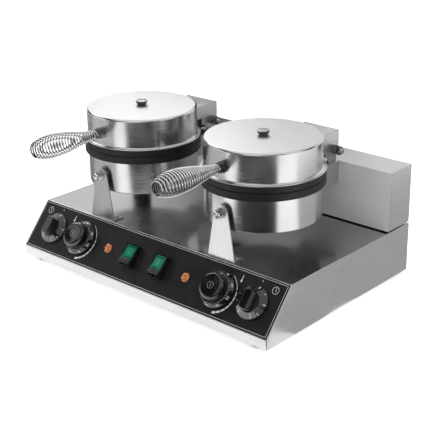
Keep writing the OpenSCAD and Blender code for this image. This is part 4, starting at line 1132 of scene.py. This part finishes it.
class WAFFLE_OT_panel(bpy.types.Operator):
    """Builds the enamelled panel and its printed frame, arcs and signs."""

    bl_idname = "waffle.panel"
    bl_label = "Control panel"

    def execute(self, context):
        corner, outline = 1.5, []
        for x, y, start in ((1, 1, 0), (-1, 1, 90), (-1, -1, 180), (1, -1, 270)):
            centre = (x * (PANEL_HALF_X - corner), y * (PANEL_HALF_UP - corner))
            outline += arc(centre, corner, start, start + 90, 4)
        sheet = extrude("enamelled_panel", outline, PANEL_THICK, "enamel", panel_matrix(), rounding=0.15)
        settle(sheet, "base", "panel_paint", "control_panel")
        ink = ribbon(rectangle(PANEL_HALF_X - 2.6, PANEL_HALF_UP - 2.6), 0.5, closed=True)
        for side in SIDES:
            ink += self.signs(pivot(f"thermostat_{side}_turn").x, pivot(f"timer_{side}_turn").x)
        print_layer = print_piece("panel_print", ink, "ink", panel_matrix(out=PRINT_LIFT))
        settle(print_layer, "base", "panel_paint")
        return {"FINISHED"}

    def signs(self, thermostat_x, timer_x):
        """The print of one side: an arc that widens in steps, a dot, a clock and a thermometer."""
        scale = band(34.4, (0.6, 0.9), 62, 18)
        for i in range(7):
            start, width = 14 - 13.5 * i, 1.3 + 0.35 * i
            scale += band(34.4, (width, width + 0.3), start, start - 11.5, 8)
        clock = band(5.6, (0.6, 0.6), 0, 360) + ribbon([(0, 3.6), (0, 0), (1.9, -1.9)], 0.7)
        bulb = [(1.5 * x, 2.4 * y) for x, y in disc(0, 0, 1)[0]]
        stem = [(-0.8, 0), (0.8, 0), (0.25, 9.5), (-0.25, 9.5)]
        return (shifted(scale, thermostat_x, -1.5) + disc(timer_x + 1, 36, 0.9, 12)
                + shifted(clock, timer_x + math.copysign(28.8, timer_x), 29)
                + shifted([bulb, stem], thermostat_x + math.copysign(33, timer_x), 25.5))


# Knobs, switches and lamps

KNOB_Z = PANEL_THICK + 0.6
SPINDLE = [(0, -18), (3, -18), (3, KNOB_Z + 1), (0, KNOB_Z + 1)]


def wrap(piece, degrees, radius, height, slope, out):
    """Bends a flat piece round a cone: local X runs clockwise, Y down the slope and Z out of it."""
    for vert in piece.data.vertices:
        x, y, z = vert.co / MM
        reach = radius + y * math.cos(slope) + z * math.sin(slope)
        across = polar(reach, math.radians(degrees) - x / radius)
        vert.co = Vector((*across, height - y * math.sin(slope) + z * math.cos(slope))) * MM
    return place(piece, out)


class WAFFLE_OT_thermostats(bpy.types.Operator):
    """Builds the thermostat knobs: a marked dial under a glossy round grip."""

    bl_idname = "waffle.thermostats"
    bl_label = "Thermostat knobs"

    def execute(self, context):
        for side in SIDES:
            out = panel_matrix(pivot(f"thermostat_{side}_turn").x)
            settle(join(f"thermostat_knob_{side}_turned", self.parts(out, context.scene.waffle_sizes.ticks)),
                   f"thermostat_{side}", "knob_plastic", f"thermostat_knob_{side}")
        return {"FINISHED"}

    def parts(self, out, tick_count):
        """The turned knob, its spindle, ticks, sign, pointer and numerals."""
        dial_r, edge, dial_top, lean = 30.5, 5, 10, 4.3
        grip_r, top, bend = 22, 25, 6
        slope = math.atan2(dial_top - edge, lean)
        outline = [(0, KNOB_Z), (dial_r - 0.4, KNOB_Z), (dial_r, KNOB_Z + 0.4), (dial_r, edge - 0.5),
                   (dial_r - 0.3, edge + 0.2), (dial_r - lean + 0.3, dial_top - 0.4),
                   (dial_r - lean - 0.3, dial_top - 0.05), (grip_r + 0.7, dial_top - 0.05),
                   (grip_r + 0.3, dial_top + 0.6), (grip_r - 0.1, top - bend),
                   *arc((grip_r - bend, top - bend), bend - 0.1, 0, 86, 12),
                   (grip_r - bend - 2.5, top - 0.4), (7, top - 1), (0, top - 1.1)]
        flat = out @ shift(z=dial_top - 0.03)
        angles = [math.radians(100 - 200 * i / (tick_count - 1)) for i in range(tick_count)]
        tick = print_piece("tick_template", [[(0, -0.4), (1.5, -0.4), (1.5, 0.4), (0, 0.4)]], "ink")
        sign = band(5.4, (0.8, 0.8), 0, 360) + ribbon([(0, -2.6), (0, 3)], 1.3)
        return [
            lathe("knob", outline, "knob", out, 96, 45),
            lathe("spindle", SPINDLE, "screw", out),
            copies("ticks", tick, [(*polar(24.1, a), 0) for a in angles], "ink", flat, angles),
            print_piece("sign", sign, "grey_ink", out @ shift(z=top - 1.06), 0.1),
            print_piece("pointer", [[(-0.8, 23.6), (0.8, 23.6), (0, 26)]], "ink", flat),
            *(wrap(numeral(str(value), 4.6), 70 - 42 * i, dial_r - lean / 2, (edge + dial_top) / 2, slope, out)
              for i, value in enumerate((50, 100, 150, 200, 250)))]


# Marks on the timer's skirt: angle, start and end down the slope, width, ink
TIMER_MARKS = (
    (235, -4, 4.8, 0.9, "ink"), (268, -1, 4.8, 0.7, "black"), (282, -1, 4.8, 0.6, "black"),
    (296, -4, 4.8, 0.9, "ink"), (252, -1, 4.8, 0.6, "black"), (325, 0.5, 4.8, 1.0, "ink"),
    (5, 0.5, 4.8, 1.0, "ink"), (45, 2.5, 4.8, 0.8, "ink"), (80, 0.5, 4.8, 1.0, "ink"),
    (165, 2.5, 4.8, 0.8, "ink"), (190, 1.5, 4.8, 0.9, "ink"),
)
# The pale sector of the skirt: middle and span in degrees, then start and end down the slope
SECTOR = (265, 106, -4.4, 5.2)
# The grip bar: its foot and top, half its width at the foot, and how much that half narrows
GRIP_LOW, GRIP_HIGH = 9.6, 22
GRIP_HALF, GRIP_NARROWS = 10.8, 3.6


class WAFFLE_OT_timers(bpy.types.Operator):
    """Builds the timer knobs: a sloped skirt, a ribbed grip bar and a pale graduated sector."""

    bl_idname = "waffle.timers"
    bl_label = "Timer knobs"

    def execute(self, context):
        skirt_r, edge, top, lean = 27.2, 4, 10.5, 10.2
        cone = (skirt_r - lean / 2, (edge + top) / 2, math.atan2(top - edge, lean))
        outline = [(0, KNOB_Z), (skirt_r - 0.4, KNOB_Z), (skirt_r, KNOB_Z + 0.4), (skirt_r, edge - 0.3),
                   (skirt_r - 0.4, edge + 0.2), (skirt_r - lean, top - 0.05), (0, top - 0.05)]
        for side in SIDES:
            out = panel_matrix(pivot(f"timer_{side}_turn").x)
            parts = [lathe("skirt", outline, "knob", out, 96), lathe("spindle", SPINDLE, "screw", out),
                     self.grip(out), *self.ribs(out)]
            parts.append(wrap(print_piece("sector", self.sector(cone[0]), "grey_ink"), SECTOR[0], *cone, out))
            for angle, start, end, width, finish in TIMER_MARKS:
                half = width / 2
                mark = [[(-half, start), (half, start), (half, end), (-half, end)]]
                parts.append(wrap(print_piece("mark", mark, finish, thick=0.08), angle, *cone, out))
            settle(join(f"timer_knob_{side}_turned", parts), f"timer_{side}", "knob_plastic",
                   f"timer_knob_{side}")
        return {"FINISHED"}

    def sector(self, radius, steps=30):
        """Quads of the pale sector, in the flat axes that wrap bends."""
        _, degrees, start, end = SECTOR
        half = math.radians(degrees / 2) * radius
        xs = [-half + 2 * half * i / steps for i in range(steps + 1)]
        return [[(a, start), (b, start), (b, end), (a, end)] for a, b in zip(xs, xs[1:])]

    def grip(self, out):
        """The grip: a tapered bar with flat flanks and round ends."""
        layers, ends, rings = 5, 10, []
        for k in range(layers):
            share = k / (layers - 1)
            half, reach = GRIP_HALF - GRIP_NARROWS * share, 16.4 - 0.9 * share
            corner = math.acos(half / reach)
            end = [polar(reach, corner + (math.pi - 2 * corner) * i / ends) for i in range(ends + 1)]
            ring = end + [(-x, -y) for x, y in end]
            rings.append([(x, y, GRIP_LOW + (GRIP_HIGH - GRIP_LOW) * share) for x, y in ring])
        return place(shade(bevel(loft("grip", rings, "knob"), 1.2, 3, 50), 30), out)

    def ribs(self, out):
        """Upright ribs along both flanks of the grip, set with Geometry Nodes."""
        radius, height, pitch, count, flank_x, foot = 0.75, 10.4, 2.6, 9, 10.4, 10.4
        lean = math.degrees(math.atan2(GRIP_NARROWS, GRIP_HIGH - GRIP_LOW))
        section = arc((0, 0), radius, 0, 315, 7)
        for flank in (-1, 1):
            rib = extrude("rib_template", section, height, "knob", turned(-flank * lean, "Y"))
            places = [(flank * flank_x, (i - count // 2) * pitch, foot) for i in range(count)]
            yield copies("ribs", rib, places, "knob", out)


class WAFFLE_OT_switches(bpy.types.Operator):
    """Builds the switch housings and their two-coloured rockers."""

    bl_idname = "waffle.switches"
    bl_label = "Switches"

    def execute(self, context):
        bodies = node_copy("switch_housings", "switch_bodies", "gloss", 0.7)
        settle(bodies, "base", "black_plastic", "switch_bodies")
        for side in SIDES:
            offset = pivot(f"switch_{side}_rock") - PANEL_MID
            out = panel_matrix(offset.x, offset.dot(PANEL_UP), offset.dot(PANEL_OUT)) @ turned(-10, "X")
            settle(join(f"rocker_cap_{side}", self.rocker(out)), f"switch_{side}", "green_rocker",
                   f"switch_rocker_{side}")
        return {"FINISHED"}

    def rocker(self, out):
        """One rocker cap on its pin, green with a window above and smoked below."""
        half_w, end, top, dip, pin_half, pin_r = 10.8, 16.8, 5.1, 3.5, 12.1, 1.5
        split, belly, belly_y, low, high, proud, window_half = -9, -4.5, 5, -4, 11, 0.35, 8

        def face(y):
            """Height of the dished face."""
            return dip + (top - dip) * abs(y) / end

        upper = [(split, -2.4), (-belly_y, belly), (belly_y, belly), (end, 0), (end, top), (0, dip),
                 (split, face(split))]
        lower = [(-end, 0), (split, -2.4), (split, face(split)), (-end, top)]
        pane = [(y, face(y) + lift) for ys, lift in (((low, 0, high), -proud), ((high, 0, low), proud)) for y in ys]
        caps = [extrude("cap", shape, 2 * half, finish, out @ side_view(-half), rounding)
                for shape, half, finish, rounding in (
                    (upper, half_w, "rocker", 0.6), (lower, half_w, "smoke", 0.6),
                    (pane, window_half, "window", 0.25))]
        pin = [(0, -pin_half), (pin_r, -pin_half), (pin_r, pin_half), (0, pin_half)]
        marks = out @ shift(z=dip + proud) @ turned(math.degrees(math.atan2(top - dip, end)), "X")
        return caps + [
            lathe("pin", pin, "screw", out @ turned(90, "Y"), 24),
            print_piece("off_mark", shifted(band(1.5, (0.5, 0.5), 0, 360, 24), 0, 2.4), "grey_ink", marks),
            print_piece("on_mark", ribbon([(0, 6.6), (0, 9.4)], 0.6), "grey_ink", marks)]


class WAFFLE_OT_lamps(bpy.types.Operator):
    """Builds the lamp lenses: a thin rim round a domed amber cap."""

    bl_idname = "waffle.lamps"
    bl_label = "Lamps"

    def execute(self, context):
        foot, radius, rim_h, dome_h = PANEL_THICK, 8, 1, 2.6
        dome = [(0, foot), (radius - 0.1, foot), (radius, foot + 0.1),
                *((radius * x, foot + rim_h + dome_h * y) for x, y in arc((0, 0), 1, 0, 84, 10)),
                (0, foot + rim_h + dome_h)]
        caps = [lathe("lens", dome, "lamp", panel_matrix((low.x + high.x) / 2), smooth_angle=60)
                for low, high in node_islands("lamp_lenses")]
        settle(join("amber_lamp_caps", caps), "base", "amber_lens", "lamp_lenses")
        return {"FINISHED"}


# Studio, in metres, about a point of the floor under the base's middle
CENTRE = Vector((0, middle("base_shell").y * MM, 0))
FLOOR_HALF = 6.0

# The photograph's view: azimuth, elevation and roll in degrees, then the aim from the centre
CAMERA_ANGLES = (42.127, 21.737, -0.825)
CAMERA_AIM = (0.093757, -0.094156, 0.146)
CAMERA_DISTANCE = 1.67944
CAMERA_LENS = 89.49

# Upright cards: direction clockwise from the front in degrees, distance, tone, corners as (across, height)
UPRIGHT_CARDS = (
    (-138, 0.45, "#060606", ((-0.17, 0.0), (0.18, 0.0), (0.18, 0.42), (0.12, 0.43), (-0.17, 0.334))),
    (-138, 0.46, "#505050", ((0.18, 0.0), (0.25, 0.0), (0.25, 0.355), (0.18, 0.42))),
    (-138, 0.47, "#A8A8A8", ((0.25, 0.0), (0.34, 0.0), (0.34, 0.325), (0.25, 0.355))),
    (-52.6, 1.2, "#0A0A0A", ((-0.6, 0.72), (0.6, 0.72), (0.6, 1.6), (-0.6, 1.6))),
    (-85, 1.7, "#101010", ((-0.5, 0.1), (0.5, 0.1), (0.5, 0.9), (-0.5, 0.9))),
    (-15, 1.7, "#101010", ((-0.65, 0.1), (0.6, 0.1), (0.6, 1.1), (-0.65, 1.1))),
    (60, 1.7, "#101010", ((-0.65, 0.3), (0.65, 0.3), (0.65, 1.1), (-0.65, 1.1))),
    (130, 1.6, "#202020", ((-0.45, 0.1), (0.45, 0.1), (0.45, 1.2), (-0.45, 1.2))),
)
# Cards on the floor: first and last direction, near and far edge, tone
FLOOR_CARDS = (
    (3, 67, 0.345, 1.6, "#060606"),
    (-75, -20, 0.42, 1.4, "#CFCFCF"),
    (-97, -75, 0.42, 1.4, "#909090"),
    (166, 263, 0.35, 1.4, "#C0C0C0"),
    (148, 166, 0.5, 1.4, "#202020"),
    (98, 146, 0.28, 0.9, "#C4C4C4"),
    (67, 98, 0.28, 0.46, "#C4C4C4"),
)
CARD_STEPS = 12
# Area lamps: name, place, size, watts, and whether steel mirrors them
LAMPS = (
    ("Large softbox above", (0.1, -0.1, 1.9), (1.8, 1.4), 18, False),
    ("Left softbox", (-1.7, -0.9, 1.1), (0.9, 1.4), 14, False),
    ("Right softbox", (1.7, 0.2, 0.9), (0.7, 1.2), 9, False),
    ("Window behind left", (-1.25, 1.15, 1.45), (0.6, 0.6), 4.5, True),
    ("Window at the left", (-1.6, -0.2, 1.35), (0.8, 0.8), 9, True),
)
LAMP_AIM = Vector((0, 0.05, 0.15))


def towards(degrees):
    """The level direction at an angle clockwise from the front."""
    x, y = polar(1, math.radians(degrees - 90))
    return Vector((x, y, 0))


def seen_directly(tree):
    """1 for camera, glossy and transmission rays, and 0 for the rest."""
    rays = add(tree, "ShaderNodeLightPath").outputs
    seen = rays["Is Camera Ray"]
    for kind in ("Is Glossy Ray", "Is Transmission Ray"):
        seen = add(tree, "ShaderNodeMath", {0: seen, 1: rays[kind]}, operation="MAXIMUM").outputs[0]
    return seen


class WAFFLE_OT_stage(bpy.types.Operator):
    """Sets the pale floor, the soft lights, the grey and black cards that steel needs, and the camera."""

    bl_idname = "waffle.stage"
    bl_label = "Studio"

    def execute(self, context):
        scene = context.scene
        scene.view_settings.view_transform = "Standard"
        self.floor()
        self.world(scene)
        for i, (turn, distance, tone, corners) in enumerate(UPRIGHT_CARDS):
            foot, across = CENTRE + towards(turn) * distance, towards(turn - 90)
            self.card(f"upright_card_{i}", [foot + across * u + UP * z for u, z in corners],
                      [list(range(len(corners)))], tone)
        for i, (start, end, near, far, tone) in enumerate(FLOOR_CARDS):
            turns = [start + (end - start) * k / CARD_STEPS for k in range(CARD_STEPS + 1)]
            verts = [CENTRE + towards(t) * reach + UP * (1 + i) * MM for t in turns for reach in (near, far)]
            self.card(f"floor_card_{i}", verts,
                      [[2 * k, 2 * k + 1, 2 * k + 3, 2 * k + 2] for k in range(CARD_STEPS)], tone)
        for name, spot, size, power, mirrored in LAMPS:
            light = bpy.data.lights.new(name, "AREA")
            light.shape = "RECTANGLE"
            light.size, light.size_y = size
            light.energy = power
            holder = show(name, light)
            holder.location = spot
            holder.visible_glossy = mirrored
            holder.rotation_euler = (LAMP_AIM - Vector(spot)).to_track_quat("-Z", "Y").to_euler()
        self.camera(scene)
        return {"FINISHED"}

    def floor(self):
        """A white floor that keeps the object's soft shadow."""
        corners = [(x / MM, y / MM, 0) for x, y in rectangle(FLOOR_HALF, FLOOR_HALF)]
        floor = new_piece("studio_floor", corners, [[0, 1, 2, 3]])
        material, tree, shader, coords = start_material("Pale seamless paper")
        feed(tree, shader, {"Base Color": linear("#F4F4F4"), "Roughness": 0.9, "Specular IOR Level": 0.1})
        glow = add(tree, "ShaderNodeEmission", {"Strength": 0.55})
        both = add(tree, "ShaderNodeAddShader", {0: shader.outputs[0], 1: glow.outputs[0]})
        mix = add(tree, "ShaderNodeMixShader", {0: seen_directly(tree), 1: shader.outputs[0], 2: both.outputs[0]})
        feed(tree, tree.nodes["Material Output"], {"Surface": mix.outputs[0]})
        floor.data.materials.append(material)

    def world(self, scene):
        """White to the camera and to reflections, and a mid grey fill for everything else."""
        world = bpy.data.worlds.new("White studio")
        world.use_nodes = True
        tree = world.node_tree
        strength = add(tree, "ShaderNodeMapRange", {"Value": seen_directly(tree), "To Min": 0.45, "To Max": 1.0})
        feed(tree, tree.nodes["Background"], {"Strength": strength.outputs[0], "Color": (1, 1, 1, 1)})
        scene.world = world

    def card(self, name, verts, faces, tone):
        """One card of an even tone that only reflections see."""
        material = bpy.data.materials.new(f"Studio card {tone[1:]}")
        material.use_nodes = True
        tree = material.node_tree
        tree.nodes.remove(tree.nodes["Principled BSDF"])
        glow = add(tree, "ShaderNodeEmission", {"Color": linear(tone)})
        feed(tree, tree.nodes["Material Output"], {"Surface": glow.outputs[0]})
        card = new_piece(name, [v / MM for v in verts], faces)
        card.data.materials.append(material)
        for ray in ("camera", "diffuse", "shadow"):
            setattr(card, f"visible_{ray}", False)

    def camera(self, scene):
        """The camera at the photograph's viewing angle."""
        azimuth, elevation, roll = CAMERA_ANGLES
        level, height = polar(1, math.radians(elevation))
        out = towards(azimuth) * level + UP * height
        turn = out.to_track_quat("Z", "Y").to_matrix().to_4x4() @ turned(roll, "Z")
        data = bpy.data.cameras.new("Photograph's view")
        data.lens = CAMERA_LENS
        data.sensor_width = 36
        data.clip_start = 0.05
        camera = show("Photograph's view", data)
        camera.matrix_world = Matrix.Translation(CENTRE + Vector(CAMERA_AIM) + out * CAMERA_DISTANCE) @ turn
        scene.camera = camera


class WAFFLE_PT_builder(bpy.types.Panel):
    """Lists the builder's settings and steps in the sidebar."""

    bl_idname = "WAFFLE_PT_builder"
    bl_label = "Waffle maker"
    bl_space_type = "VIEW_3D"
    bl_region_type = "UI"
    bl_category = "Waffle Maker"

    def draw(self, context):
        for settings in (context.scene.waffle_sizes, context.scene.waffle_finish):
            for prop in settings.__annotations__:
                self.layout.prop(settings, prop)
        for step in STEPS:
            self.layout.operator(step.bl_idname)


STEPS = (
    WAFFLE_OT_finishes, WAFFLE_OT_base, WAFFLE_OT_cover, WAFFLE_OT_heads, WAFFLE_OT_screws, WAFFLE_OT_bolts,
    WAFFLE_OT_lid_screws, WAFFLE_OT_handles, WAFFLE_OT_panel, WAFFLE_OT_thermostats, WAFFLE_OT_timers,
    WAFFLE_OT_switches, WAFFLE_OT_lamps, WAFFLE_OT_stage,
)
CLASSES = (WaffleFinish, WaffleSizes) + STEPS + (WAFFLE_PT_builder,)


def register():
    """Registers the classes and the scene's settings."""
    for cls in CLASSES:
        bpy.utils.register_class(cls)
    bpy.types.Scene.waffle_finish = bpy.props.PointerProperty(type=WaffleFinish)
    bpy.types.Scene.waffle_sizes = bpy.props.PointerProperty(type=WaffleSizes)


def unregister():
    """Removes the settings and the classes."""
    del bpy.types.Scene.waffle_sizes
    del bpy.types.Scene.waffle_finish
    for cls in reversed(CLASSES):
        bpy.utils.unregister_class(cls)


def main():
    """Builds every piece in order."""
    register()
    for step in STEPS:
        group, call = step.bl_idname.split(".")
        getattr(getattr(bpy.ops, group), call)()


if __name__ == "__main__":
    main()
